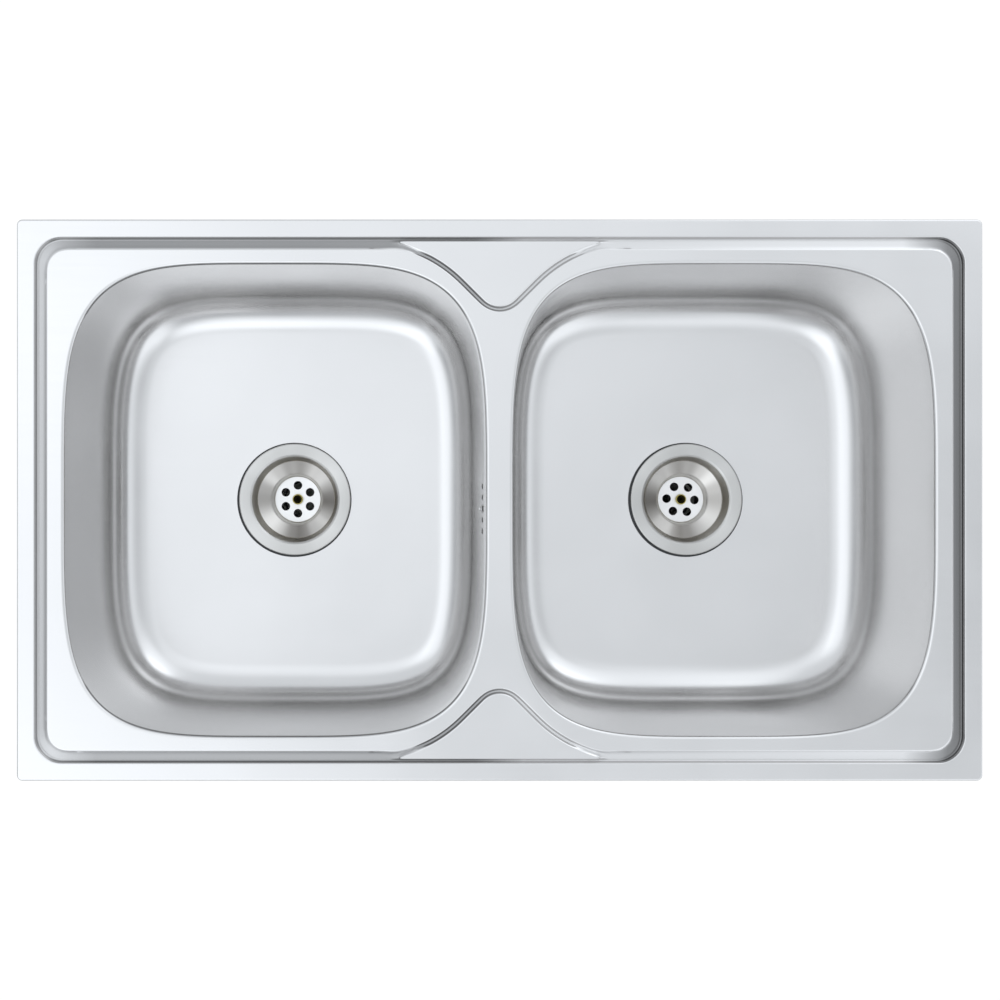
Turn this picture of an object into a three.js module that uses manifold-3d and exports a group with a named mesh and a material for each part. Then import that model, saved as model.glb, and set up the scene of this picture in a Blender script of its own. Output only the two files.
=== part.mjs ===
// Double bowl inset kitchen sink with its wastes, overflow, pipework and fixing clips.
// Millimetres. Origin: middle of the sink in the worktop's plane. +Z up, +X to the right
// bowl, +Y to the back, where the tap stands.
import * as THREE from 'three';
import { mergeVertices } from 'three/addons/utils/BufferGeometryUtils.js';
import Module from 'manifold-3d';

const wasm = await Module();
wasm.setup();

// ---- Driving dimensions ----

const fitGap = 0.3;             // between pieces that rest on each other
const sheet = 0.8;              // pressed stainless steel

// Rim and drip groove
const sinkLength = 860;
const sinkWidth = 500;
const rimHeight = 4;            // top of the rim above the worktop
const rimWidth = 15;
const rimCornerRadius = 5;
const rimEdgeRadius = 1.6;      // where the rim turns down to the worktop
const grooveWidth = 12;
const grooveDepth = 4;          // below the rim
const grooveCornerRadius = 25;
const grooveWallRun = 1.6;      // how far a groove wall leans
const deckDrop = 1.5;           // deck below the rim
const deckCornerRadius = 17;
const deckSideStrip = 14.8;     // deck between the groove and a bowl, at the short sides
const deckEndStrip = 12.5;      // the same at the front and the back
const dividerWidth = 24.6;      // between the two bowls

// Tap-ledge islands, front and back, each inside its own narrow groove
const islandDepth = 64.8;       // from the rim to the bottom of the curved groove
const islandRimGroove = 4.5;    // narrow groove between rim and island
const islandGroove = 6;         // curved groove round the island
const islandValleyRadius = 22;
const islandFlankAngle = Math.PI / 4;
const islandFlankLength = 26;
const islandTipAngle = 0.22;    // slope where the curved groove meets the straight one
const islandTipWidth = 2;
const islandTipInset = 2;       // the curved groove's tip, in from the straight groove's middle

// Bowls
const bowlDepth = 150;          // deck to the floor at the waste
const bowlSquareness = 4.2;     // exponent of the mouth's outline
const bowlFilletRadius = 35;
const mouthRadius = 3;
const draftAngle = THREE.MathUtils.degToRad(4);
const floorFall = 2;            // from the fillet down to the waste
const floorFlatRadius = 62;     // level ring that the waste flange sits on

// Wastes
const wasteHoleRadius = 45.5;
const flangeRadius = 57;
const flangeThickness = 1.2;
const cupSheet = 1;
const cupMouthRadius = 43.4;
const cupWallRadius = 40;       // at the foot of the steep wall
const cupWallDepth = 13;
const cupLedge = 1.4;
const discRadius = 23.5;
const cupDepth = 25;            // floor to the perforated disc
const strainerHoleRadius = 4.5;
const strainerCircleRadius = 14.6;
const strainerHoleCount = 6;
const clampScrewRadius = 3;
const clampHeadRadius = 5.4;
const clampHeadHeight = 2.8;
const clampHeadWall = 1.1;      // brass left round the wide recess in its head
const clampKeyRadius = 2;       // deep hole for the key below that recess
const clampKeyDepth = 6;
const flangeGasketThickness = 1;
const flangeGasketRadius = 58;
const lowerGasketThickness = 3;
const lowerGasketRadius = 54;

const wasteWall = 3;
const wasteFlangeRadius = 55;
const wasteFlangeThickness = 3;
const chamberDepth = 12;        // straight part of the waste body under the cup
const outletConeDepth = 8;
const outletLength = 20;        // threaded outlet

// Pipework
const pipeRadius = 20;
const pipeWall = 2;
const socketWall = 3.5;
const socketLength = 24;
const socketStop = 4;           // solid bottom of a socket
const collarThickness = 3;
const washerThickness = 2;
const bendRadius = 28;
const nutWall = 5;
const nutLip = 2.5;
const nutClearance = 0.5;       // round the thread or pipe inside a nut
const socketClearance = 0.4;    // round the pipe inside a socket
const crossoverDrop = 44;       // collar to the crossover pipe's axis
const trapHeadRadius = 34;
const trapThreadHeight = 12;    // the cup's skirt over the trap head
const trapCupDepth = 48;
const trapWall = 2.5;
const trapOutletLength = 34;
const outletPipeEnd = 235;      // Y of the outlet pipe's open end

// Overflow
const overflowHoleRadius = 2.7;
const overflowPitch = 10.3;
const overflowHoleCount = 5;    // the middle one takes the screw
const overflowDepth = 28;       // below the deck
const overflowOffset = -8;      // Y of the middle hole
const overflowBoxWidth = 62;
const overflowBoxHeight = 30;
const overflowBoxDepth = 17;
const overflowBoxWall = 2;
const overflowSealThickness = 2;
const overflowScrewRadius = 2;
const overflowHeadRadius = 4;
const overflowHeadHeight = 1.6;
const spigotRadius = 7.5;
const spigotLength = 14;
const overflowPipeWall = 1.8;
const overflowBendRadius = 34;

// Seal, pads and clips
const sealWidth = 7;
const sealInset = 2.2;
const padThickness = 2;
const padLength = 60;
const padWidth = 110;
const clipShift = 0.5;          // the screw's axis, outwards from the deck's edge
const clipSheet = 1.5;
const clipWidth = 22;
const clipLegLength = 20;
const clipTabLength = 20;       // lower tab that carries the nut
const clipNutThickness = 5;
const clipNutRadius = 6.5;
const clipScrewRadius = 3;
const clipHeadRadius = 5.8;
const clipHeadHeight = 4;
const clipTravel = 15;
const clawWidth = 18;
const clawSheet = 2;
const clawTail = 8;             // behind the screw
const clawFlat = 9;             // from the screw to where its arm rises
const clawReach = 24;
const clawRise = 12.5;
const clawGripHeight = -41.5;   // Z of the claw's teeth when it hangs loose
const clipWasherThickness = 1.2;
const clipWasherRadius = 7.5;

const bowlSides = 40;           // flats round a bowl
const turnSides = 20;           // flats round a turned piece
const holeSides = 10;           // flats round a small hole or screw

// ---- Worked out from them ----

const halfLength = sinkLength / 2;
const halfWidth = sinkWidth / 2;
const deckZ = rimHeight - deckDrop;
const grooveFloorZ = rimHeight - grooveDepth;
const deckInset = rimWidth + grooveWidth;
const bowlHalfLength = (halfLength - deckInset - deckSideStrip - dividerWidth / 2) / 2;
const bowlHalfWidth = halfWidth - deckInset - deckEndStrip;
const bowlCentreX = dividerWidth / 2 + bowlHalfLength;
const floorZ = deckZ - bowlDepth;
const wallHeight = bowlDepth - floorFall - mouthRadius - bowlFilletRadius * (1 - Math.sin(draftAngle));
const wallDraft = wallHeight * Math.tan(draftAngle);
const filletInset = wallDraft + bowlFilletRadius * Math.cos(draftAngle);

// ---- Solids ----

function solidFrom(points, triangles) {
  const flat = new Float32Array(points.flatMap(p => [p.x, p.y, p.z]));
  return new wasm.Manifold(new wasm.Mesh({
    numProp: 3, vertProperties: flat, triVerts: new Uint32Array(triangles),
  }));
}

// A three.js geometry as a solid: shared corners merged, empty triangles left out, faces out.
function solid(geometry) {
  const bare = geometry.clone();
  bare.deleteAttribute('normal');
  bare.deleteAttribute('uv');
  const merged = mergeVertices(bare, 1e-4);
  const place = merged.attributes.position;
  const points = [];
  for (let i = 0; i < place.count; i++) points.push(new THREE.Vector3().fromBufferAttribute(place, i));
  let triangles = [];
  let volume = 0;
  for (let i = 0; i < merged.index.count; i += 3) {
    const [a, b, c] = [0, 1, 2].map(k => merged.index.getX(i + k));
    if (a === b || b === c || a === c) continue;
    triangles.push([a, b, c]);
    volume += points[a].dot(points[b].clone().cross(points[c]));
  }
  if (volume < 0) triangles = triangles.map(([a, b, c]) => [a, c, b]);
  return solidFrom(points, triangles.flat());
}

function geometryOf(body) {
  const mesh = body.getMesh();
  const geometry = new THREE.BufferGeometry();
  const place = new Float32Array(mesh.numVert * 3);
  for (let i = 0; i < mesh.numVert; i++) {
    for (let k = 0; k < 3; k++) place[i * 3 + k] = mesh.vertProperties[i * mesh.numProp + k];
  }
  geometry.setAttribute('position', new THREE.BufferAttribute(place, 3));
  geometry.setIndex(new THREE.BufferAttribute(new Uint32Array(mesh.triVerts), 1));
  return geometry;
}

const joined = (first, ...others) => others.reduce((sum, next) => sum.add(next), first);
const cut = (first, ...others) => others.reduce((rest, next) => rest.subtract(next), first);

// A closed profile of [radius, z] points turned about Z.
function turned(profile, sides = turnSides) {
  const points = profile.map(([r, z]) => new THREE.Vector2(r, z));
  points.push(points[0].clone());
  return solid(new THREE.LatheGeometry(points, sides).rotateX(Math.PI / 2));
}

const ring = (inner, outer, low, high, sides) =>
  turned([[inner, low], [outer, low], [outer, high], [inner, high]], sides);

function rod(radius, low, high, sides = turnSides) {
  const shape = new THREE.CylinderGeometry(radius, radius, high - low, sides);
  return solid(shape.rotateX(Math.PI / 2).translate(0, 0, (low + high) / 2));
}

function rodAlong(axis, radius, from, to, centre, sides = turnSides) {
  const shape = new THREE.CylinderGeometry(radius, radius, to - from, sides);
  shape.rotateX(Math.PI / 2).translate(0, 0, (from + to) / 2);
  if (axis === 'x') shape.rotateY(Math.PI / 2);
  if (axis === 'y') shape.rotateX(-Math.PI / 2);
  return solid(shape.translate(...centre));
}

function block(low, high) {
  const [x, y, z] = [0, 1, 2].map(k => high[k] - low[k]);
  const middle = [0, 1, 2].map(k => (high[k] + low[k]) / 2);
  return solid(new THREE.BoxGeometry(x, y, z).translate(...middle));
}

// An outline in the XZ plane with thickness along Y, centred on Y = 0.
function strip(outline, width) {
  const shape = new THREE.Shape(outline.map(([x, z]) => new THREE.Vector2(x, z)));
  const body = new THREE.ExtrudeGeometry(shape, { depth: width, bevelEnabled: false });
  return solid(body.rotateX(Math.PI / 2).translate(0, width / 2, 0));
}

// A pipe with an open bore along a path.
function pipe(path, outer, inner, sides, steps) {
  const circle = (radius, Kind) => {
    const points = [];
    for (let i = 0; i < sides; i++) {
      const a = (i / sides) * 2 * Math.PI;
      points.push(new THREE.Vector2(radius * Math.cos(a), radius * Math.sin(a)));
    }
    return new Kind(points);
  };
  const section = circle(outer, THREE.Shape);
  section.holes.push(circle(inner, THREE.Path));
  return solid(new THREE.ExtrudeGeometry(section, { steps, extrudePath: path, bevelEnabled: false }));
}

// ---- Outlines ----

// Rounded rectangle, anticlockwise from the right side's lower corner.
function roundedRectangle(halfX, halfY, radius, steps) {
  const points = [];
  const corners = [[1, -1, -90], [1, 1, 0], [-1, 1, 90], [-1, -1, 180]];
  for (const [sx, sy, start] of corners) {
    for (let i = 0; i <= steps; i++) {
      const a = THREE.MathUtils.degToRad(start + (90 * i) / steps);
      points.push(new THREE.Vector2(
        sx * (halfX - radius) + radius * Math.cos(a), sy * (halfY - radius) + radius * Math.sin(a)));
    }
  }
  return points;
}

// Each corner of an anticlockwise loop moved outwards by the distance, square to both its sides.
function grown(loop, distance) {
  return loop.map((p, i) => {
    const before = p.clone().sub(loop.at(i - 1)).normalize();
    const after = loop[(i + 1) % loop.length].clone().sub(p).normalize();
    const out = new THREE.Vector2(before.y + after.y, -before.x - after.x).normalize();
    return p.clone().addScaledVector(out, distance / (out.x * after.y - out.y * after.x));
  });
}

function circleLoop(radius, sides) {
  return Array.from({ length: sides }, (_, k) => {
    const a = (k / sides) * 2 * Math.PI;
    return new THREE.Vector2(radius * Math.cos(a), radius * Math.sin(a));
  });
}

// A bowl's outline about its own middle, its mouth's superellipse moved inwards by the inset.
function bowlLoop(inset) {
  const power = 2 / bowlSquareness;
  return Array.from({ length: bowlSides }, (_, k) => {
    const a = (k / bowlSides) * 2 * Math.PI;
    const c = Math.cos(a);
    const s = Math.sin(a);
    const x = Math.sign(c) * Math.abs(c) ** power;
    const y = Math.sign(s) * Math.abs(s) ** power;
    const slope = new THREE.Vector2(
      Math.sign(x) * Math.abs(x) ** (bowlSquareness - 1) / bowlHalfLength,
      Math.sign(y) * Math.abs(y) ** (bowlSquareness - 1) / bowlHalfWidth).normalize();
    return new THREE.Vector2(x * bowlHalfLength, y * bowlHalfWidth).addScaledVector(slope, -inset);
  });
}

// Middle of the curved groove on the right half of the back island, from its valley to its tip,
// moved away from the island by the shift: an arc, a straight flank and a shoulder arc.
function islandCurve(shift) {
  const valleyY = halfWidth - rimWidth - islandDepth;
  const sin = Math.sin(islandFlankAngle);
  const cos = Math.cos(islandFlankAngle);
  const arcEnd = [islandValleyRadius * sin, valleyY + islandValleyRadius * (1 - cos)];
  const flankEnd = [arcEnd[0] + islandFlankLength * cos, arcEnd[1] + islandFlankLength * sin];
  const tipY = halfWidth - rimWidth - grooveWidth / 2 - islandTipInset;
  const shoulder = (tipY - flankEnd[1]) / (Math.cos(islandTipAngle) - cos);
  const points = [];
  const put = (x, y, angle) => points.push(
    new THREE.Vector2(x + shift * Math.sin(angle), y - shift * Math.cos(angle)));
  for (let i = 0; i <= 3; i++) {
    const a = (islandFlankAngle * i) / 3;
    put(islandValleyRadius * Math.sin(a), valleyY + islandValleyRadius * (1 - Math.cos(a)), a);
  }
  for (let i = 0; i <= 5; i++) {
    const a = islandFlankAngle + ((islandTipAngle - islandFlankAngle) * i) / 5;
    put(flankEnd[0] + shoulder * (sin - Math.sin(a)), flankEnd[1] + shoulder * (Math.cos(a) - cos), a);
  }
  return points;
}

const mirrored = points => points.map(p => new THREE.Vector2(-p.x, p.y)).reverse();
const turnedRound = points => points.map(p => new THREE.Vector2(-p.x, -p.y));

// The deck's edge: a rounded rectangle with a bay round each island.
function deckLoop() {
  const corners = roundedRectangle(halfLength - deckInset, halfWidth - deckInset, deckCornerRadius, 4);
  const right = islandCurve(islandGroove / 2);
  const end = right.at(-1);
  const lead = new THREE.Vector2(end.x + 2 * islandGroove, halfWidth - deckInset);
  const bay = [lead, ...right.toReversed(), ...mirrored(right).toReversed().slice(1), mirrored([lead])[0]];
  const back = [...corners.slice(0, corners.length / 2), ...bay];
  return [...back, ...turnedRound(back)];
}

// The back island's edge.
function islandLoop() {
  const topY = halfWidth - rimWidth - islandRimGroove;
  const curve = islandCurve(-islandGroove / 2);
  const right = curve.filter(p => p.y < topY - islandTipWidth);
  const next = curve[right.length] ?? curve.at(-1);
  const last = right.at(-1);
  const share = (topY - islandTipWidth - last.y) / (next.y - last.y);
  const tip = last.clone().lerp(next, share);
  const rightSide = [...right, tip, new THREE.Vector2(tip.x, topY)];
  return [...rightSide, ...mirrored(rightSide).slice(0, -1)];
}

// ---- The pressed sheet ----

// Collects the sheet's upper face, then gives it thickness.
class Pressing {
  points = [];
  triangles = [];

  loop(outline, z, dx = 0) {
    return outline.map(p => this.points.push(new THREE.Vector3(p.x + dx, p.y, z)) - 1);
  }

  // Joins two loops of as many points, the outer one given first.
  band(outer, inner) {
    outer.forEach((a, i) => {
      const next = (i + 1) % outer.length;
      this.triangles.push([a, outer[next], inner[next]], [a, inner[next], inner[i]]);
    });
    return inner;
  }

  // Fills the plane between an outer loop and the loops inside it.
  fill(outer, inners) {
    const all = [outer, ...inners].flat();
    const flat = loop => loop.map(i => new THREE.Vector2(this.points[i].x, this.points[i].y));
    const faces = THREE.ShapeUtils.triangulateShape(flat(outer), inners.map(flat));
    for (const [a, b, c] of faces) {
      const turn = [a, b, c].map(i => this.points[all[i]]);
      const area = (turn[1].x - turn[0].x) * (turn[2].y - turn[0].y)
        - (turn[2].x - turn[0].x) * (turn[1].y - turn[0].y);
      this.triangles.push(area > 0 ? [all[a], all[b], all[c]] : [all[a], all[c], all[b]]);
    }
  }

  thickened(thickness) {
    const { points, triangles } = this;
    const faceNormals = triangles.map(([a, b, c]) => {
      const one = points[b].clone().sub(points[a]);
      return one.cross(points[c].clone().sub(points[a])).normalize();
    });
    const sums = points.map(() => new THREE.Vector3());
    const around = points.map(() => []);
    triangles.forEach((triangle, t) => triangle.forEach((at, k) => {
      const one = points[triangle[(k + 1) % 3]].clone().sub(points[at]);
      const two = points[triangle[(k + 2) % 3]].clone().sub(points[at]);
      sums[at].addScaledVector(faceNormals[t], one.angleTo(two));
      around[at].push(faceNormals[t]);
    }));
    const under = points.map((p, i) => {
      const normal = sums[i].normalize();
      const lean = around[i].reduce((sum, n) => sum + n.dot(normal), 0) / around[i].length;
      return p.clone().addScaledVector(normal, -thickness / lean);
    });
    const count = points.length;
    const open = new Map();
    for (const [a, b, c] of triangles) {
      for (const [from, to] of [[a, b], [b, c], [c, a]]) {
        if (!open.delete(`${to},${from}`)) open.set(`${from},${to}`, [from, to]);
      }
    }
    const lower = triangles.map(([a, b, c]) => [a + count, c + count, b + count]);
    const edges = [...open.values()].flatMap(([from, to]) =>
      [[to, from, from + count], [to, from + count, to + count]]);
    return solidFrom([...points, ...under], [...triangles, ...lower, ...edges].flat());
  }
}

function pressBowl(pressing, side) {
  const dx = side * bowlCentreX;
  const mouth = pressing.loop(bowlLoop(-mouthRadius), deckZ, dx);
  let last = mouth;
  const down = (inset, z) => { last = pressing.band(last, pressing.loop(bowlLoop(inset), z, dx)); };
  const rollSteps = 2;
  for (let i = 1; i <= rollSteps; i++) {
    const a = ((Math.PI / 2) * i) / rollSteps;
    down(-mouthRadius * (1 - Math.sin(a)), deckZ - mouthRadius * (1 - Math.cos(a)));
  }
  const filletSteps = 4;
  const filletZ = floorZ + floorFall + bowlFilletRadius;
  for (let i = 0; i <= filletSteps; i++) {
    const a = draftAngle + ((Math.PI / 2 - draftAngle) * i) / filletSteps;
    down(filletInset - bowlFilletRadius * Math.cos(a), filletZ - bowlFilletRadius * Math.sin(a));
  }
  last = pressing.band(last, pressing.loop(circleLoop(floorFlatRadius, bowlSides), floorZ, dx));
  pressing.band(last, pressing.loop(circleLoop(wasteHoleRadius, bowlSides), floorZ, dx));
  return mouth;
}

// Where the overflow row meets the bowl's outer side: X outwards from the bowl, Z up its wall.
function overflowFrame() {
  const down = overflowDepth - mouthRadius;
  const frame = new THREE.Group();
  frame.position.set(
    -dividerWidth / 2 - down * Math.tan(draftAngle) + sheet / Math.cos(draftAngle),
    overflowOffset, deckZ - overflowDepth);
  frame.rotation.y = draftAngle;
  return frame;
}

function sinkShell() {
  const pressing = new Pressing();
  const steps = 4;
  const rimLoop = inset => roundedRectangle(
    halfLength - inset, halfWidth - inset, Math.max(rimCornerRadius - inset, 1), steps);
  let last = pressing.loop(rimLoop(0), 0);
  last = pressing.band(last, pressing.loop(rimLoop(0), rimHeight - rimEdgeRadius));
  const eased = rimEdgeRadius * (1 - Math.SQRT1_2);
  last = pressing.band(last, pressing.loop(rimLoop(eased), rimHeight - eased));
  last = pressing.band(last, pressing.loop(rimLoop(rimEdgeRadius), rimHeight));

  const grooveLoop = roundedRectangle(halfLength - rimWidth, halfWidth - rimWidth, grooveCornerRadius, steps);
  last = pressing.band(last, pressing.loop(grooveLoop, rimHeight));
  const floorEdge = pressing.band(last, pressing.loop(grown(grooveLoop, -grooveWallRun), grooveFloorZ));

  const deck = deckLoop();
  const deckFoot = pressing.loop(grown(deck, grooveWallRun), grooveFloorZ);
  const deckEdge = pressing.band(deckFoot, pressing.loop(deck, deckZ));

  const island = islandLoop();
  const feet = [island, turnedRound(island)].map(outline => {
    const foot = pressing.loop(grown(outline, grooveWallRun), grooveFloorZ);
    pressing.fill(pressing.band(foot, pressing.loop(outline, deckZ)), []);
    return foot;
  });
  pressing.fill(floorEdge, [deckFoot, ...feet]);
  pressing.fill(deckEdge, [-1, 1].map(side => pressBowl(pressing, side)));

  const frame = overflowFrame();
  frame.updateMatrix();
  const holes = [];
  for (let i = 0; i < overflowHoleCount; i++) {
    const across = (i - (overflowHoleCount - 1) / 2) * overflowPitch;
    const radius = across === 0 ? overflowScrewRadius + fitGap : overflowHoleRadius;
    const drill = new THREE.CylinderGeometry(radius, radius, 12 * sheet, holeSides).rotateZ(Math.PI / 2);
    holes.push(solid(drill.translate(-sheet / 2, across, 0).applyMatrix4(frame.matrix)));
  }
  return cut(pressing.thickened(sheet), ...holes);
}

// ---- Wastes, about the bowl's axis with Z = 0 on its floor ----

const flangeUnderZ = flangeGasketThickness + 2 * fitGap;
const cupUnderZ = -cupDepth - cupSheet;
const coneTopRadius = cupWallRadius - cupLedge;

function strainerCup(turn) {
  const flangeTopZ = flangeUnderZ + flangeThickness;
  const under = wasteHoleRadius + 2 * fitGap;
  const cup = turned([
    [0, -cupDepth], [0, cupUnderZ], [discRadius, cupUnderZ],
    [coneTopRadius + cupSheet, -cupWallDepth - cupSheet], [cupWallRadius + cupSheet, -cupWallDepth],
    [cupMouthRadius + cupSheet, 0], [under, flangeUnderZ], [flangeRadius, flangeUnderZ],
    [flangeRadius, flangeTopZ - 0.5], [flangeRadius - 1, flangeTopZ],
    [cupMouthRadius + 2, flangeTopZ - 0.3], [cupMouthRadius, flangeTopZ - 2],
    [cupWallRadius, -cupWallDepth + 0.4], [coneTopRadius, -cupWallDepth - 0.2],
    [discRadius, -cupDepth],
  ], 24);
  const holes = [rod(clampScrewRadius + fitGap, cupUnderZ - 1, -cupDepth + 1, holeSides)];
  for (let i = 0; i < strainerHoleCount; i++) {
    const a = turn + (i / strainerHoleCount) * 2 * Math.PI;
    const at = [strainerCircleRadius * Math.cos(a), strainerCircleRadius * Math.sin(a), 0];
    holes.push(rodAlong('z', strainerHoleRadius, cupUnderZ - 1, -cupDepth + 1, at, holeSides));
  }
  return cut(cup, ...holes);
}

const lowerGasketTopZ = -sheet - fitGap;
const wasteTopZ = lowerGasketTopZ - lowerGasketThickness - fitGap;
const chamberRadius = discRadius + 6.5;
const coneFootZ = cupUnderZ - 1;
const chamberFootZ = coneFootZ - chamberDepth;
const outletTopZ = chamberFootZ - outletConeDepth;
const outletEndZ = outletTopZ - outletLength;
const outletRadius = pipeRadius + socketWall + fitGap;
const bossRadius = 5.6;
const nippleRadius = spigotRadius;
const nippleZ = (coneFootZ + chamberFootZ) / 2 - 1;
const nippleEnd = chamberRadius + wasteWall + spigotLength + 4;

function clampScrew() {
  const headZ = -cupDepth + fitGap;
  const topZ = headZ + clampHeadHeight;
  const recessRadius = clampHeadRadius - clampHeadWall;
  const shaftEndZ = chamberFootZ - 4;
  return turned([
    [0, shaftEndZ], [clampScrewRadius, shaftEndZ], [clampScrewRadius, headZ],
    [clampHeadRadius, headZ], [clampHeadRadius, topZ - 0.5], [clampHeadRadius - 0.5, topZ],
    [recessRadius, topZ], [recessRadius, headZ + 1.2], [clampKeyRadius, headZ],
    [clampKeyRadius, headZ - clampKeyDepth], [0, headZ - clampKeyDepth],
  ], holeSides);
}

// Its three ribs stand between the strainer's holes.
function wasteBody(turn, withNipple) {
  const boreRadius = outletRadius - wasteWall - 1;
  const mouth = wasteHoleRadius + 0.5;
  const funnel = clear => [
    [cupWallRadius + cupSheet + clear, -cupWallDepth - 1],
    [chamberRadius - 1 + clear, coneFootZ + 3],
  ];
  const [innerHigh, innerLow] = funnel(1.2);
  const [outerHigh, outerLow] = funnel(1.2 + wasteWall);
  let body = turned([
    [mouth, wasteTopZ], [mouth, wasteTopZ - 2], innerHigh, innerLow, [chamberRadius, chamberFootZ],
    [boreRadius, outletTopZ], [boreRadius, outletEndZ], [outletRadius, outletEndZ],
    [outletRadius, outletTopZ - 1], [chamberRadius + wasteWall, chamberFootZ - 1],
    [outerLow[0], outerLow[1] - 1], [outerHigh[0], outerHigh[1] - 2],
    [mouth + wasteWall, wasteTopZ - wasteFlangeThickness - 2],
    [mouth + wasteWall, wasteTopZ - wasteFlangeThickness],
    [wasteFlangeRadius, wasteTopZ - wasteFlangeThickness], [wasteFlangeRadius, wasteTopZ],
  ]);
  const bossFootZ = chamberFootZ - 6;
  const ribReach = chamberRadius + wasteWall / 2;
  const ribs = [0, 1, 2].map(i => {
    const rib = new THREE.BoxGeometry(ribReach, 2.4, 7).translate(ribReach / 2, 0, chamberFootZ + 4.5);
    return solid(rib.rotateZ(turn + Math.PI / strainerHoleCount + (i * 2 * Math.PI) / 3));
  });
  body = joined(body, rod(bossRadius, bossFootZ, coneFootZ - 1, holeSides), ...ribs);
  if (withNipple) {
    const at = [0, overflowOffset, nippleZ];
    body = body.add(rodAlong('x', nippleRadius, chamberRadius - 3, nippleEnd, at, 12));
    body = body.subtract(
      rodAlong('x', nippleRadius - overflowBoxWall, chamberRadius - 9, nippleEnd + 1, at, 12));
  }
  return body.subtract(rod(clampScrewRadius + fitGap, chamberFootZ - 4.5, coneFootZ, holeSides));
}

const collarTopZ = outletEndZ - washerThickness - 2 * fitGap;
const crossoverZ = collarTopZ - crossoverDrop;
const nutRadius = outletRadius + nutClearance + nutWall;

// A union nut: it grips the thread above it and carries the collar or washer below.
function unionNut(topZ, footZ) {
  const body = rod(nutRadius, footZ, topZ, 8);
  return cut(body,
    rod(outletRadius + nutClearance, footZ + nutLip, topZ + 1),
    rod(pipeRadius + nutClearance, footZ - 1, footZ + nutLip + 1));
}

const collar = () => rod(outletRadius, collarTopZ - collarThickness, collarTopZ);
const outletNutFootZ = collarTopZ - collarThickness - fitGap - nutLip;

function line(from, to) {
  return new THREE.LineCurve3(new THREE.Vector3(...from), new THREE.Vector3(...to));
}

// Down from the left waste and round to the right.
function leftElbow() {
  const bendTop = crossoverZ + bendRadius;
  const path = new THREE.CurvePath();
  path.add(line([0, 0, collarTopZ], [0, 0, bendTop]));
  path.add(new THREE.QuadraticBezierCurve3(
    new THREE.Vector3(0, 0, bendTop), new THREE.Vector3(0, 0, crossoverZ),
    new THREE.Vector3(bendRadius, 0, crossoverZ)));
  path.add(line([bendRadius, 0, crossoverZ], [bendRadius + socketLength / 2, 0, crossoverZ]));
  const socketRadius = pipeRadius + socketWall;
  const bore = rodAlong(
    'x', pipeRadius + socketClearance, bendRadius + socketStop, bendRadius + socketLength + 1, [0, 0, crossoverZ]);
  const body = joined(
    pipe(path, pipeRadius, pipeRadius - pipeWall, 14, 9),
    cut(collar(), rod(pipeRadius - 1, collarTopZ - 2 * collarThickness, collarTopZ + 1)),
    cut(rodAlong('x', socketRadius, bendRadius, bendRadius + socketLength, [0, 0, crossoverZ]),
      rodAlong('x', pipeRadius - 1, bendRadius - 1, bendRadius + 6, [0, 0, crossoverZ])));
  return body.subtract(bore);
}

const teeFootZ = crossoverZ - pipeRadius - 30;
const teeBranch = pipeRadius + 6 + socketLength;

// Under the right waste: takes the crossover pipe and leads down to the trap.
function rightTee() {
  const socketRadius = pipeRadius + socketWall;
  const outside = joined(
    rod(pipeRadius, teeFootZ, collarTopZ), collar(),
    rodAlong('x', pipeRadius, -teeBranch + socketStop, 0, [0, 0, crossoverZ]),
    rodAlong('x', socketRadius, -teeBranch, -teeBranch + socketLength, [0, 0, crossoverZ]));
  return cut(outside,
    rod(pipeRadius - pipeWall, teeFootZ - 1, collarTopZ + 1),
    rodAlong('x', pipeRadius - pipeWall, -teeBranch - 1, 0, [0, 0, crossoverZ]),
    rodAlong('x', pipeRadius + socketClearance, -teeBranch - 1, -teeBranch + socketLength - socketStop,
      [0, 0, crossoverZ]));
}

const crossoverGap = 6;         // the pipe stops short of the bottom of each socket
const leftSocketFloor = -bowlCentreX + bendRadius + socketStop;
const rightSocketFloor = bowlCentreX - teeBranch + socketLength - socketStop;

function crossoverPipe() {
  return cut(
    rodAlong('x', pipeRadius, leftSocketFloor + crossoverGap, rightSocketFloor - crossoverGap, [0, 0, 0]),
    rodAlong('x', pipeRadius - pipeWall, leftSocketFloor, rightSocketFloor, [0, 0, 0]));
}

// A compression nut over a socket's mouth, about X with its lip at the greater X.
function socketNut() {
  const length = socketLength * 0.7;
  const grip = pipeRadius + socketWall + socketClearance;
  return cut(
    rodAlong('x', grip + nutWall, 0, length, [0, 0, 0], 8),
    rodAlong('x', grip, -1, length - nutLip, [0, 0, 0]),
    rodAlong('x', pipeRadius + nutClearance, 0, length + 1, [0, 0, 0]));
}

const socketNutStart = fitGap + nutLip - socketLength * 0.7;   // from the socket's mouth

const trapMouthZ = teeFootZ + socketLength - socketStop;
const trapHeadTopZ = trapMouthZ - socketLength - 2;
const trapOutletZ = trapHeadTopZ - pipeRadius - socketWall - 2;
const trapHeadFootZ = trapOutletZ - pipeRadius - socketWall - 1.5 - trapThreadHeight;
const trapOutletMouth = trapHeadRadius + trapOutletLength;
const dipEndZ = trapHeadFootZ - trapCupDepth + 18;

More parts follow.
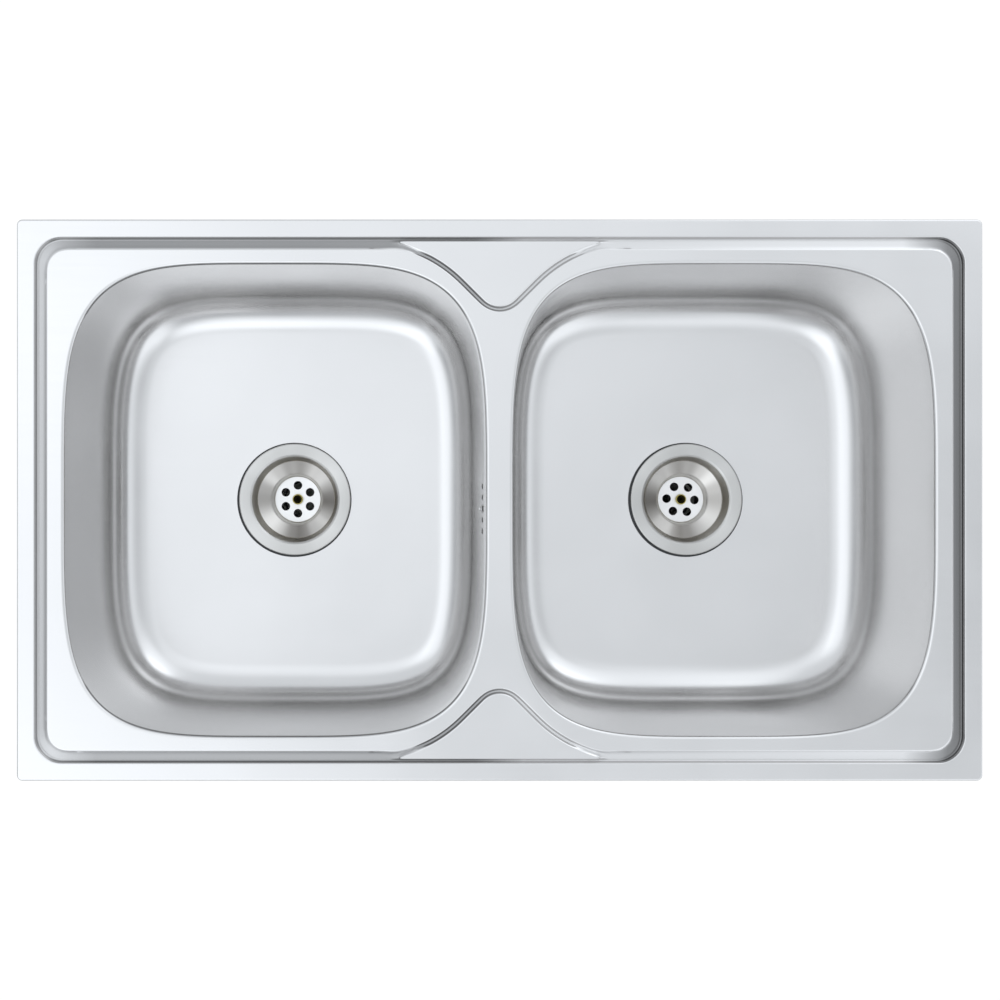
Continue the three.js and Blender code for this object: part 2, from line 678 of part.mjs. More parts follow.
function trapBody() {
  const socketRadius = pipeRadius + socketWall;
  const chamber = trapHeadRadius - trapWall;
  const dip = pipeRadius - pipeWall - 1;
  const outside = joined(
    rod(socketRadius, trapHeadTopZ, trapMouthZ),
    rod(trapHeadRadius, trapHeadFootZ, trapHeadTopZ + 1),
    rodAlong('y', socketRadius, 0, trapOutletMouth, [0, 0, trapOutletZ]));
  const hollow = cut(outside,
    rod(chamber, trapHeadFootZ - 1, trapHeadTopZ - trapWall),
    rodAlong('y', pipeRadius - pipeWall, 0, trapOutletMouth - 8, [0, 0, trapOutletZ]),
    rodAlong('y', pipeRadius + socketClearance, trapOutletMouth - socketLength + socketStop, trapOutletMouth + 1,
      [0, 0, trapOutletZ]));
  return cut(
    joined(hollow, rod(dip + pipeWall, dipEndZ, trapHeadTopZ - 1)),
    rod(dip, dipEndZ - 1, trapHeadTopZ + 4),
    rod(pipeRadius + socketClearance, trapHeadTopZ + 3, trapMouthZ + 1));
}

const trapSealThickness = 3;
const trapCupTopZ = trapHeadFootZ - trapSealThickness - 2 * fitGap;

function trapCup() {
  const foot = trapCupTopZ - trapCupDepth;
  const outer = trapHeadRadius - 2;
  const skirt = trapHeadRadius + 0.6;
  return turned([
    [0, foot + trapWall], [0, foot], [outer - 6, foot], [outer, foot + 6], [outer, trapCupTopZ - 6],
    [skirt + 3.4, trapCupTopZ - 4], [skirt + 3.4, trapHeadFootZ + trapThreadHeight], [skirt, trapHeadFootZ + trapThreadHeight],
    [skirt, trapCupTopZ], [outer - trapWall, trapCupTopZ], [outer - trapWall, foot + 7],
    [outer - 8, foot + trapWall],
  ]);
}

function outletPipe() {
  const start = trapOutletMouth - socketLength + socketStop + crossoverGap;
  return cut(
    rodAlong('y', pipeRadius, start, outletPipeEnd, [0, 0, 0]),
    rodAlong('y', pipeRadius - pipeWall, start - 1, outletPipeEnd + 1, [0, 0, 0]));
}

// ---- Overflow, in the overflow frame ----

const overflowBoxFront = overflowSealThickness + 2 * fitGap;
const spigotX = overflowBoxFront + overflowBoxDepth / 2;

function frameOutline(width, height, wall, fromX, toX) {
  return cut(
    block([fromX, -width / 2, -height / 2], [toX, width / 2, height / 2]),
    block([fromX - 1, wall - width / 2, wall - height / 2], [toX + 1, width / 2 - wall, height / 2 - wall]));
}

function overflowBox() {
  const back = overflowBoxFront + overflowBoxDepth;
  const [y, z] = [overflowBoxWidth / 2, overflowBoxHeight / 2];
  const shell = cut(
    block([overflowBoxFront, -y, -z], [back, y, z]),
    block([overflowBoxFront - 1, overflowBoxWall - y, overflowBoxWall - z],
      [back - overflowBoxWall, y - overflowBoxWall, z - overflowBoxWall]));
  const foot = -z - spigotLength;
  const at = [spigotX, 0, 0];
  const post = rodAlong('x', overflowScrewRadius + 2.3, overflowBoxFront + 1, back - 1, [0, 0, 0], 12);
  return cut(
    joined(shell, rodAlong('z', spigotRadius, foot, 1 - z, at, 12), post),
    rodAlong('z', spigotRadius - overflowBoxWall, foot - 1, overflowBoxWall + 1 - z, at, 12),
    rodAlong('x', overflowScrewRadius + fitGap, 0, back - overflowBoxWall - 1, [0, 0, 0], 12));
}

function overflowScrew() {
  const headX = -sheet - 2 * fitGap - 0.3;
  return joined(
    rodAlong('x', overflowScrewRadius, headX - 0.5, overflowBoxFront + 9, [0, 0, 0], 12),
    rodAlong('x', overflowHeadRadius, headX - overflowHeadHeight, headX, [0, 0, 0], 12));
}

// From the overflow box down between the bowls and back to the left waste's nipple.
function overflowPipe(start, down, end) {
  const inner = spigotRadius + fitGap + 0.1;
  const path = new THREE.CurvePath();
  const corner = start.clone().addScaledVector(down, (end.z - start.z) / down.z);
  const bendStart = corner.clone().addScaledVector(down, -overflowBendRadius);
  const along = end.clone().sub(corner).normalize();
  const bendEnd = corner.clone().addScaledVector(along, overflowBendRadius);
  path.add(new THREE.LineCurve3(start, bendStart));
  path.add(new THREE.QuadraticBezierCurve3(bendStart, corner, bendEnd));
  path.add(new THREE.LineCurve3(bendEnd, end));
  return pipe(path, inner + overflowPipeWall, inner, 10, 13);
}

// ---- Fixing clips, about the screw's axis with +X outwards and Z = 0 on the worktop ----

const clipInset = deckInset - clipShift;
const clipTopZ = deckZ - sheet - fitGap;
const clipBack = fitGap - clipShift - (deckSideStrip - mouthRadius);
const clipFlangeEnd = clipBack + deckSideStrip - mouthRadius - 2;
const clipTabZ = -clipLegLength + clipSheet;
const clawBaseZ = clawGripHeight - clawRise + clawSheet;
const clipWasherZ = clawBaseZ - clawSheet - fitGap - clipWasherThickness;
const clipScrewTipZ = clipTopZ - clipSheet - 3 - clipTravel;

function clipBracket() {
  const foot = clipTabZ - clipSheet;
  const profile = strip([
    [clipBack, foot], [clipBack + clipTabLength, foot], [clipBack + clipTabLength, clipTabZ],
    [clipBack + clipSheet, clipTabZ], [clipBack + clipSheet, clipTopZ - clipSheet],
    [clipFlangeEnd, clipTopZ - clipSheet], [clipFlangeEnd, clipTopZ], [clipBack, clipTopZ],
  ], clipWidth);
  return cut(
    joined(profile, rod(clipNutRadius, foot - clipNutThickness, foot + 0.5, 6)),
    rod(clipScrewRadius + fitGap, foot - clipNutThickness - 1, clipTabZ + 1, 12));
}

function clipScrew() {
  const head = clipWasherZ - fitGap;
  return joined(
    rod(clipScrewRadius, head - 1, clipScrewTipZ, holeSides),
    rod(clipHeadRadius, head - clipHeadHeight, head, 6));
}

function clipClaw() {
  const low = clawBaseZ - clawSheet;
  const lift = clawGripHeight - 2;
  return cut(
    strip([
      [-clawTail, low], [clawFlat, low], [clawReach - 3, lift - clawSheet], [clawReach, lift - clawSheet],
      [clawReach, clawGripHeight], [clawReach - clawSheet, clawGripHeight], [clawReach - clawSheet, lift],
      [clawReach - 4, lift], [clawFlat - 0.8, clawBaseZ], [-clawTail, clawBaseZ],
    ], clawWidth),
    rod(clipScrewRadius + fitGap, low - 1, clawBaseZ + 1, 12));
}

// ---- Assembly ----

const finishes = {
  pressedSteel: { color: 0xd6d8da, roughness: 0.3, metalness: 1 },
  turnedSteel: { color: 0xb9b6b0, roughness: 0.35, metalness: 1 },
  zincSteel: { color: 0xb4b8bc, roughness: 0.45, metalness: 1 },
  brass: { color: 0xb59a52, roughness: 0.35, metalness: 1 },
  blackRubber: { color: 0x1c1c1e, roughness: 0.8, metalness: 0 },
  greyFoam: { color: 0x6f7276, roughness: 0.95, metalness: 0 },
  whitePlastic: { color: 0xe6e6e2, roughness: 0.5, metalness: 0 },
  bitumen: { color: 0x3b3d40, roughness: 0.9, metalness: 0 },
};

function piece(parent, name, body, finish) {
  const mesh = new THREE.Mesh(geometryOf(body), new THREE.MeshStandardMaterial(finishes[finish]));
  mesh.name = name;
  parent.add(mesh);
  return mesh;
}

function groupAt(parent, x, y, z) {
  const group = new THREE.Group();
  group.position.set(x, y, z);
  parent.add(group);
  return group;
}

const sink = new THREE.Group();
piece(sink, 'sink_shell', sinkShell(), 'pressedSteel');

// Rim seal
{
  const loop = inset => roundedRectangle(
    halfLength - inset, halfWidth - inset, Math.max(rimCornerRadius - inset, 1), 3);
  const shape = new THREE.Shape(loop(sealInset));
  shape.holes.push(new THREE.Path(loop(sealInset + sealWidth)));
  const depth = rimHeight - sheet - fitGap;
  piece(sink, 'rim_seal', solid(new THREE.ExtrudeGeometry(shape, { depth, bevelEnabled: false })), 'greyFoam');
}

// Each bowl's waste and sound pad
const sides = [
  { name: 'left', side: -1, turn: Math.PI / 6 },
  { name: 'right', side: 1, turn: -0.05 },
];
for (const { name, side, turn } of sides) {
  const waste = groupAt(sink, side * bowlCentreX, 0, floorZ);
  piece(waste, `${name}_flange_gasket`,
    ring(wasteHoleRadius + 3 * fitGap, flangeGasketRadius, fitGap, fitGap + flangeGasketThickness, 24), 'blackRubber');
  piece(waste, `${name}_strainer_cup`, strainerCup(turn), 'turnedSteel');
  piece(waste, `${name}_clamp_screw`, clampScrew(), 'brass');
  piece(waste, `${name}_lower_gasket`,
    ring(wasteHoleRadius + 0.5, lowerGasketRadius, lowerGasketTopZ - lowerGasketThickness, lowerGasketTopZ),
    'blackRubber');
  piece(waste, `${name}_waste_body`, wasteBody(turn, side < 0), 'whitePlastic');
  piece(waste, `${name}_outlet_washer`,
    ring(pipeRadius - pipeWall, outletRadius, collarTopZ + fitGap, outletEndZ - fitGap), 'blackRubber');
  piece(waste, `${name}_outlet_nut`, unionNut(outletTopZ - 4, outletNutFootZ), 'whitePlastic');

  const slope = Math.atan(floorFall / (bowlHalfLength - filletInset - floorFlatRadius));
  const pad = groupAt(waste, side * floorFlatRadius, 0, -sheet);
  pad.rotation.y = -side * slope;
  const near = 8;
  const ends = [side * near, side * (near + padLength)].sort((a, b) => a - b);
  piece(pad, `${name}_sound_pad`, block(
    [ends[0], -padWidth / 2, -fitGap - padThickness], [ends[1], padWidth / 2, -fitGap]), 'bitumen');
}

// Pipework
{
  const left = groupAt(sink, -bowlCentreX, 0, floorZ);
  const right = groupAt(sink, bowlCentreX, 0, floorZ);
  const axis = groupAt(sink, 0, 0, floorZ + crossoverZ);
  piece(left, 'left_elbow', leftElbow(), 'whitePlastic');
  piece(right, 'right_tee', rightTee(), 'whitePlastic');
  piece(axis, 'crossover_pipe', crossoverPipe(), 'whitePlastic');
  const leftNut = piece(axis, 'crossover_left_nut', socketNut(), 'whitePlastic');
  leftNut.position.x = -bowlCentreX + bendRadius + socketLength + socketNutStart;
  const rightNut = piece(axis, 'crossover_right_nut', socketNut(), 'whitePlastic');
  rightNut.rotation.z = Math.PI;
  rightNut.position.x = bowlCentreX - teeBranch - socketNutStart;

  const trapNut = piece(right, 'trap_nut', socketNut(), 'whitePlastic');
  trapNut.rotation.y = -Math.PI / 2;
  trapNut.position.z = trapMouthZ + socketNutStart;
  piece(right, 'trap_body', trapBody(), 'whitePlastic');
  piece(right, 'trap_seal', ring(trapHeadRadius - 5, trapHeadRadius,
    trapCupTopZ + fitGap, trapCupTopZ + fitGap + trapSealThickness), 'blackRubber');
  piece(right, 'trap_cup', trapCup(), 'whitePlastic');
  const outlet = groupAt(right, 0, 0, trapOutletZ);
  piece(outlet, 'outlet_pipe', outletPipe(), 'whitePlastic');
  const outletNut = piece(outlet, 'outlet_pipe_nut', socketNut(), 'whitePlastic');
  outletNut.rotation.z = Math.PI / 2;
  outletNut.position.y = trapOutletMouth + socketNutStart;
}

// Overflow
{
  const frame = overflowFrame();
  sink.add(frame);
  piece(frame, 'overflow_seal',
    frameOutline(overflowBoxWidth, overflowBoxHeight, 3, fitGap, fitGap + overflowSealThickness), 'blackRubber');
  piece(frame, 'overflow_box', overflowBox(), 'whitePlastic');
  piece(frame, 'overflow_screw', overflowScrew(), 'zincSteel');
  frame.updateMatrix();
  const underBox = -overflowBoxHeight / 2 - 2;
  const start = new THREE.Vector3(spigotX, 0, underBox).applyMatrix4(frame.matrix);
  const end = new THREE.Vector3(
    -bowlCentreX + nippleEnd - spigotLength + 3, overflowOffset, floorZ + nippleZ);
  const down = new THREE.Vector3(-Math.sin(draftAngle), 0, -Math.cos(draftAngle));
  piece(sink, 'overflow_pipe', overflowPipe(start, down, end), 'whitePlastic');
}

// Fixing clips
{
  const along = bowlCentreX + 0.82 * bowlHalfLength;
  const clips = [
    { name: 'back_left', x: -along, y: halfWidth - clipInset, turn: Math.PI / 2 },
    { name: 'back_right', x: along, y: halfWidth - clipInset, turn: Math.PI / 2 },
    { name: 'front_left', x: -along, y: clipInset - halfWidth, turn: -Math.PI / 2 },
    { name: 'front_right', x: along, y: clipInset - halfWidth, turn: -Math.PI / 2 },
    { name: 'side_left', x: clipInset - halfLength, y: 0, turn: Math.PI },
    { name: 'side_right', x: halfLength - clipInset, y: 0, turn: 0 },
  ];
  for (const { name, x, y, turn } of clips) {
    const clip = groupAt(sink, x, y, 0);
    clip.rotation.z = turn;
    piece(clip, `clip_${name}_bracket`, clipBracket(), 'zincSteel');
    piece(clip, `clip_${name}_screw`, clipScrew(), 'zincSteel');
    piece(clip, `clip_${name}_washer`, ring(clipScrewRadius + fitGap, clipWasherRadius,
      clipWasherZ, clipWasherZ + clipWasherThickness, holeSides), 'zincSteel');
    piece(clip, `clip_${name}_claw`, clipClaw(), 'zincSteel');
  }
}

export default sink;
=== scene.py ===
import math

import bmesh
import bpy
import numpy as np
from mathutils import Matrix, Vector
from mathutils.geometry import delaunay_2d_cdt


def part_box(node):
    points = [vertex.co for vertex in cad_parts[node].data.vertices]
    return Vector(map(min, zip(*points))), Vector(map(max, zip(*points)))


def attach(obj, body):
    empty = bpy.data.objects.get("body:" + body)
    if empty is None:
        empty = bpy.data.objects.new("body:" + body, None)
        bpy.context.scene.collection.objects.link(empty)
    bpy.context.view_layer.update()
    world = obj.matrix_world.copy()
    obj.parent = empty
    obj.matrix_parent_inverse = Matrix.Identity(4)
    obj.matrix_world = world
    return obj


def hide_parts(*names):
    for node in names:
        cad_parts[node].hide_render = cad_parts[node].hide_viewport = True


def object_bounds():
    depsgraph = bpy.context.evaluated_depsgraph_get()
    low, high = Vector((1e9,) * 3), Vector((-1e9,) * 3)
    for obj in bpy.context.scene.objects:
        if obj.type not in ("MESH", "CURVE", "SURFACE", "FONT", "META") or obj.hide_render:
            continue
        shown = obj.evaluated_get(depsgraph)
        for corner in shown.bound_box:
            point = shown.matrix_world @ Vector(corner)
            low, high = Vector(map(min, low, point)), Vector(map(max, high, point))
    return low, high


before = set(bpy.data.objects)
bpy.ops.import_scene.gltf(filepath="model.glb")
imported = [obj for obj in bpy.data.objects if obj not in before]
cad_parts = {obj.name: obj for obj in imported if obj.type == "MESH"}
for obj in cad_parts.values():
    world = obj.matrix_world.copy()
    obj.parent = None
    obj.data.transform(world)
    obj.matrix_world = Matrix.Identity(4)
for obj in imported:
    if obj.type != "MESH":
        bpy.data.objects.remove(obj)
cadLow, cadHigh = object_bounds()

scene = bpy.context.scene
mm = 0.001                             # the sink is worked out in millimetres


# Small tools.

def boxOf(node):
    low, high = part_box(node)
    return np.array(low) / mm, np.array(high) / mm


def middleOf(node):
    low, high = boxOf(node)
    return (low + high) / 2


def linear(hexColour):
    parts = [int(hexColour[i:i + 2], 16) / 255 for i in (1, 3, 5)]
    return tuple(c / 12.92 if c <= 0.04045 else ((c + 0.055) / 1.055) ** 2.4 for c in parts) + (1,)


def addNode(tree, kind, inputs=None, **settings):
    node = tree.nodes.new(kind)
    for key, value in settings.items():
        setattr(node, key, value)
    for key, value in (inputs or {}).items():
        if isinstance(value, bpy.types.NodeSocket):
            tree.links.new(value, node.inputs[key])
        else:
            node.inputs[key].default_value = value
    return node


# A shader's node tree, with short methods that add nodes. Each gives the new node's output, and apart
# gives all three of its own.
class ShaderTree:
    def __init__(self, owner):
        owner.use_nodes = True
        self.tree = owner.node_tree
        self.tree.nodes.clear()

    def node(self, kind, inputs=None, output=0, **settings):
        return addNode(self.tree, "ShaderNode" + kind, inputs, **settings).outputs[output]

    def apart(self, vector):
        return addNode(self.tree, "ShaderNodeSeparateXYZ", {0: vector}).outputs

    def math(self, operation, *values):
        return self.node("Math", dict(enumerate(values)), operation=operation)

    def vector(self, operation, *values, output=0):
        return self.node("VectorMath", dict(enumerate(values)), output, operation=operation)

    def mix(self, share, one, two):
        return self.node("Mix", {0: share, 2: one, 3: two})

    def spread(self, value, start=0, end=1, low=0, high=1, **settings):
        return self.node("MapRange", {"Value": value, "From Min": start, "From Max": end,
                                      "To Min": low, "To Max": high}, **settings)


# A material, with its noises, tints and reliefs laid out on the object itself in millimetres.
class Surface(ShaderTree):
    def __init__(self, name, colour, metallic, roughness, **sockets):
        self.material = bpy.data.materials.new(name)
        super().__init__(self.material)
        self.shader = addNode(self.tree, "ShaderNodeBsdfPrincipled", {
            "Base Color": linear(colour), "Metallic": metallic, "Roughness": roughness, **sockets})
        addNode(self.tree, "ShaderNodeOutputMaterial", {"Surface": self.shader.outputs[0]})
        self.place = self.node("TexCoord", output="Object")

    def feed(self, socket, value):
        self.tree.links.new(value, self.shader.inputs[socket])

    def noise(self, size, detail):
        return self.node("TexNoise", {"Vector": self.place, "Scale": 1 / (size * mm), "Detail": detail},
                         "Fac")

    def cells(self, size):
        return self.node("TexVoronoi", {"Vector": self.place, "Scale": 1 / (size * mm)}, "Distance")

    def ramp(self, value, start, end):
        return self.spread(value, start * mm, end * mm)

    def tint(self, share, dark, light):
        colour = self.node("Mix", {0: share, 6: linear(dark), 7: linear(light)}, 2, data_type="RGBA")
        self.feed("Base Color", colour)
        return colour

    def sheen(self, value, low, high, start=0, end=1):
        self.feed("Roughness", self.spread(value, start, end, low, high))

    def relief(self, height, strength, depth, under=None, **settings):
        inputs = {"Height": height, "Strength": strength, "Distance": depth * mm}
        if under:
            inputs["Normal"] = under
        normal = self.node("Bump", inputs, **settings)
        self.feed("Normal", normal)
        return normal


def bakeModifiers(piece):
    graph = bpy.context.evaluated_depsgraph_get()
    graph.update()
    mesh = bpy.data.meshes.new_from_object(piece.evaluated_get(graph))
    piece.modifiers.clear()
    piece.data = mesh
    return piece


def shaded(piece, angle=32):
    mesh = piece.data
    mesh.polygons.foreach_set("use_smooth", [True] * len(mesh.polygons))
    mesh.set_sharp_from_angle(angle=math.radians(angle))
    return piece


def tidied(piece, outwards=True):
    work = bmesh.new()
    work.from_mesh(piece.data)
    bmesh.ops.remove_doubles(work, verts=work.verts, dist=2e-6)
    bmesh.ops.dissolve_degenerate(work, edges=work.edges, dist=1e-7)
    if outwards:
        bmesh.ops.recalc_face_normals(work, faces=work.faces)
    work.to_mesh(piece.data)
    work.free()
    return piece


def newPiece(name, points, faces, material, angle=32, outwards=True):
    mesh = bpy.data.meshes.new(name)
    mesh.from_pydata((np.asarray(points, dtype=float) * mm).tolist(), [], [list(f) for f in faces])
    piece = bpy.data.objects.new(name, mesh)
    scene.collection.objects.link(piece)
    mesh.materials.append(material)
    tidied(piece, outwards)
    return shaded(piece, angle)


def booleaned(piece, other, operation="DIFFERENCE"):
    cutter = piece.modifiers.new("cut", "BOOLEAN")
    cutter.operation = operation
    cutter.solver = "EXACT"
    cutter.object = other
    bakeModifiers(piece)
    bpy.data.objects.remove(other)
    return piece


def joined(name, first, *others):
    work = bmesh.new()
    for piece in (first, *others):
        work.from_mesh(piece.data)
    work.to_mesh(first.data)
    work.free()
    for piece in others:
        bpy.data.objects.remove(piece)
    first.name = name
    return first


def moved(piece, matrix):
    piece.data.transform(matrix)
    if matrix.determinant() < 0:
        piece.data.flip_normals()
    return piece


def settled(piece, node, body="root"):
    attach(piece, body)
    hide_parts(node)


# A closed outline with each corner rounded, by no more than 0.4 of its shorter side.
def softened(outline, radius, steps=3, skipAxis=True):
    points = [np.array(p, dtype=float) for p in outline]
    out = []
    for i, p in enumerate(points):
        before, after = points[i - 1] - p, points[(i + 1) % len(points)] - p
        lengths = np.linalg.norm(before), np.linalg.norm(after)
        one, two = before / lengths[0], after / lengths[1]
        bend = math.pi - math.acos(float(np.clip(one @ two, -1, 1)))
        if bend < 0.06 or (skipAxis and p[0] < 1e-6):
            out.append(p)
            continue
        run = min(radius * math.tan(bend / 2), 0.4 * min(lengths))
        for k in range(steps + 1):
            t = k / steps
            start, end = p + one * run, p + two * run
            out.append((1 - t) ** 2 * start + 2 * t * (1 - t) * p + t * t * end)
    return out


# The faces of rings of points joined each to the next, and the last to the first.
def closedNet(rings, sides):
    return [(i * sides + k, i * sides + (k + 1) % sides,
             (i + 1) % rings * sides + (k + 1) % sides, (i + 1) % rings * sides + k)
            for i in range(rings) for k in range(sides)]


# A closed profile of (radius, height) turned about Z, then laid along the axis.
def turnedPiece(name, profile, material, centre=(0, 0, 0), axis="z", sides=96, soft=0.3, angle=32):
    profile = softened(profile, soft) if soft else [np.array(p, dtype=float) for p in profile]
    turn = np.linspace(0, 2 * math.pi, sides, endpoint=False)
    points = np.array([(r * c, r * s, z) for r, z in profile for c, s in zip(np.cos(turn), np.sin(turn))])
    order = {"x": [2, 0, 1], "y": [1, 2, 0], "z": [0, 1, 2]}[axis]
    points = points[:, order] + np.array(centre)
    return newPiece(name, points, closedNet(len(profile), sides), material, angle)


# The plain ring between two radii and two heights.
def ringPiece(name, bore, outer, low, high, material, centre=(0, 0, 0), axis="z", sides=96, soft=0.3,
              angle=32):
    return turnedPiece(name, [(bore, low), (outer, low), (outer, high), (bore, high)],
                       material, centre, axis, sides, soft, angle)


def rod(radius, low, high, centre=(0, 0, 0), axis="z", sides=64):
    return ringPiece("rod", 0, radius, low, high, spareMaterial, centre, axis, sides, soft=0)


# A pipe with an open bore along a list of points.
def sweptPipe(name, path, outer, inner, material, sides=48):
    path = [Vector(p) for p in path]
    circle = [2 * math.pi * k / sides for k in range(sides)]
    rings = []
    across = None
    for i, p in enumerate(path):
        ahead = (path[min(i + 1, len(path) - 1)] - path[max(i - 1, 0)]).normalized()
        across = ahead.orthogonal() if across is None else across - ahead * across.dot(ahead)
        across.normalize()
        side = ahead.cross(across)
        rings.append((p, [across * math.cos(a) + side * math.sin(a) for a in circle]))
    points = [p + spoke * outer for p, spokes in rings for spoke in spokes]
    points += [p + spoke * inner for p, spokes in reversed(rings) for spoke in spokes]
    return newPiece(name, points, closedNet(2 * len(rings), sides), material)


def arcPath(start, corner, end, steps=20):
    start, corner, end = map(Vector, (start, corner, end))
    ts = [k / steps for k in range(steps + 1)]
    return [(1 - t) ** 2 * start + 2 * t * (1 - t) * corner + t * t * end for t in ts]


# A CAD node's shape with its flat faces whole again and its edges rounded.
def bevelledCopy(name, node, material, width):
    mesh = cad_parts[node].data.copy()
    piece = bpy.data.objects.new(name, mesh)
    scene.collection.objects.link(piece)
    mesh.materials.clear()
    mesh.materials.append(material)
    work = bmesh.new()
    work.from_mesh(mesh)
    bmesh.ops.remove_doubles(work, verts=work.verts, dist=2e-6)
    bmesh.ops.dissolve_limit(work, angle_limit=math.radians(1), verts=work.verts, edges=work.edges)
    work.to_mesh(mesh)
    work.free()
    bevel = piece.modifiers.new("edges", "BEVEL")
    bevel.width = width * mm
    bevel.segments = 2
    bevel.limit_method = "ANGLE"
    bevel.angle_limit = math.radians(32)
    return shaded(bakeModifiers(piece), 40)


# Geometry node trees for what repeats. Each adds what it makes to the mesh that it is given.

def newTree(name, **inputs):
    tree = bpy.data.node_groups.new(name, "GeometryNodeTree")
    for label, kind in {"Geometry": "Geometry", **inputs, "Material": "Material"}.items():
        tree.interface.new_socket(label, in_out="INPUT", socket_type="NodeSocket" + kind)
    tree.interface.new_socket("Geometry", in_out="OUTPUT", socket_type="NodeSocketGeometry")
    return tree, addNode(tree, "NodeGroupInput").outputs


def closedTree(tree, entry, made):
    both = addNode(tree, "GeometryNodeJoinGeometry")
    tree.links.new(made, both.inputs[0])
    tree.links.new(entry["Geometry"], both.inputs[0])
    whole = addNode(tree, "GeometryNodeRealizeInstances", {"Geometry": both.outputs[0]})
    painted = addNode(tree, "GeometryNodeSetMaterial",
                      {"Geometry": whole.outputs[0], "Material": entry["Material"]})
    addNode(tree, "NodeGroupOutput", {0: painted.outputs[0]})
    return tree


# Runs a tree on a piece, or on an empty mesh, and gives the plain mesh it makes.
def grownFrom(tree, material, piece=None, **values):
    if piece is None:
        piece = bpy.data.objects.new("grown", bpy.data.meshes.new("grown"))
        scene.collection.objects.link(piece)
    modifier = piece.modifiers.new(tree.name, "NODES")
    modifier.node_group = tree
    values["Material"] = material
    for item in tree.interface.items_tree:
        if item.in_out == "INPUT" and item.name in values:
            modifier[item.identifier] = values[item.name]
    return bakeModifiers(piece)


# Round pins standing on a circle: drills for a strainer's perforations, and the grip ribs of the
# plastic nuts and the trap cup.
def pinCircleTree():
    tree, entry = newTree("pinCircle", Count="Int", Circle="Float", Sides="Int", Radius="Float",
                          Length="Float", Turn="Float", Centre="Vector")
    circle = addNode(tree, "GeometryNodeMeshCircle", {"Vertices": entry["Count"], "Radius": entry["Circle"]})
    pin = addNode(tree, "GeometryNodeMeshCylinder",
                  {"Vertices": entry["Sides"], "Radius": entry["Radius"], "Depth": entry["Length"]})
    soft = addNode(tree, "GeometryNodeSetShadeSmooth", {"Geometry": pin.outputs["Mesh"]})
    pins = addNode(tree, "GeometryNodeInstanceOnPoints",
                   {"Points": circle.outputs["Mesh"], "Instance": soft.outputs[0]})
    spin = addNode(tree, "ShaderNodeCombineXYZ", {"Z": entry["Turn"]})
    placed = addNode(tree, "GeometryNodeTransform", {
        "Geometry": pins.outputs[0], "Translation": entry["Centre"], "Rotation": spin.outputs[0]})
    return closedTree(tree, entry, placed.outputs[0])


# A straight row of pins along Y, each lying along X: drills for the overflow.
def drillRowTree():
    tree, entry = newTree("drillRow", Count="Int", Pitch="Float", Radius="Float", Length="Float")
    gap = addNode(tree, "ShaderNodeCombineXYZ", {"Y": entry["Pitch"]})
    row = addNode(tree, "GeometryNodeMeshLine", {"Count": entry["Count"], "Offset": gap.outputs[0]})
    pin = addNode(tree, "GeometryNodeMeshCylinder",
                  {"Vertices": 32, "Radius": entry["Radius"], "Depth": entry["Length"]})
    pins = addNode(tree, "GeometryNodeInstanceOnPoints", {
        "Points": row.outputs[0], "Instance": pin.outputs["Mesh"], "Rotation": (0, math.pi / 2, 0)})
    return closedTree(tree, entry, pins.outputs[0])


# A screw thread: one helix with a small ridge as its section, added to the core.
def threadTree():
    tree, entry = newTree("thread", Turns="Float", Radius="Float", Ridge="Float", Rise="Float",
                          Steps="Int", Foot="Vector")
    helix = addNode(tree, "GeometryNodeCurveSpiral", {
        "Resolution": entry["Steps"], "Rotations": entry["Turns"], "Start Radius": entry["Radius"],
        "End Radius": entry["Radius"], "Height": entry["Rise"]})
    section = addNode(tree, "GeometryNodeCurvePrimitiveCircle", {"Resolution": 4, "Radius": entry["Ridge"]})
    ridge = addNode(tree, "GeometryNodeCurveToMesh", {
        "Curve": helix.outputs[0], "Profile Curve": section.outputs[0], "Fill Caps": True})
    placed = addNode(tree, "GeometryNodeTransform",
                     {"Geometry": ridge.outputs[0], "Translation": entry["Foot"]})
    return closedTree(tree, entry, placed.outputs[0])


pinCircle, drillRow, thread = pinCircleTree(), drillRowTree(), threadTree()


# Materials.

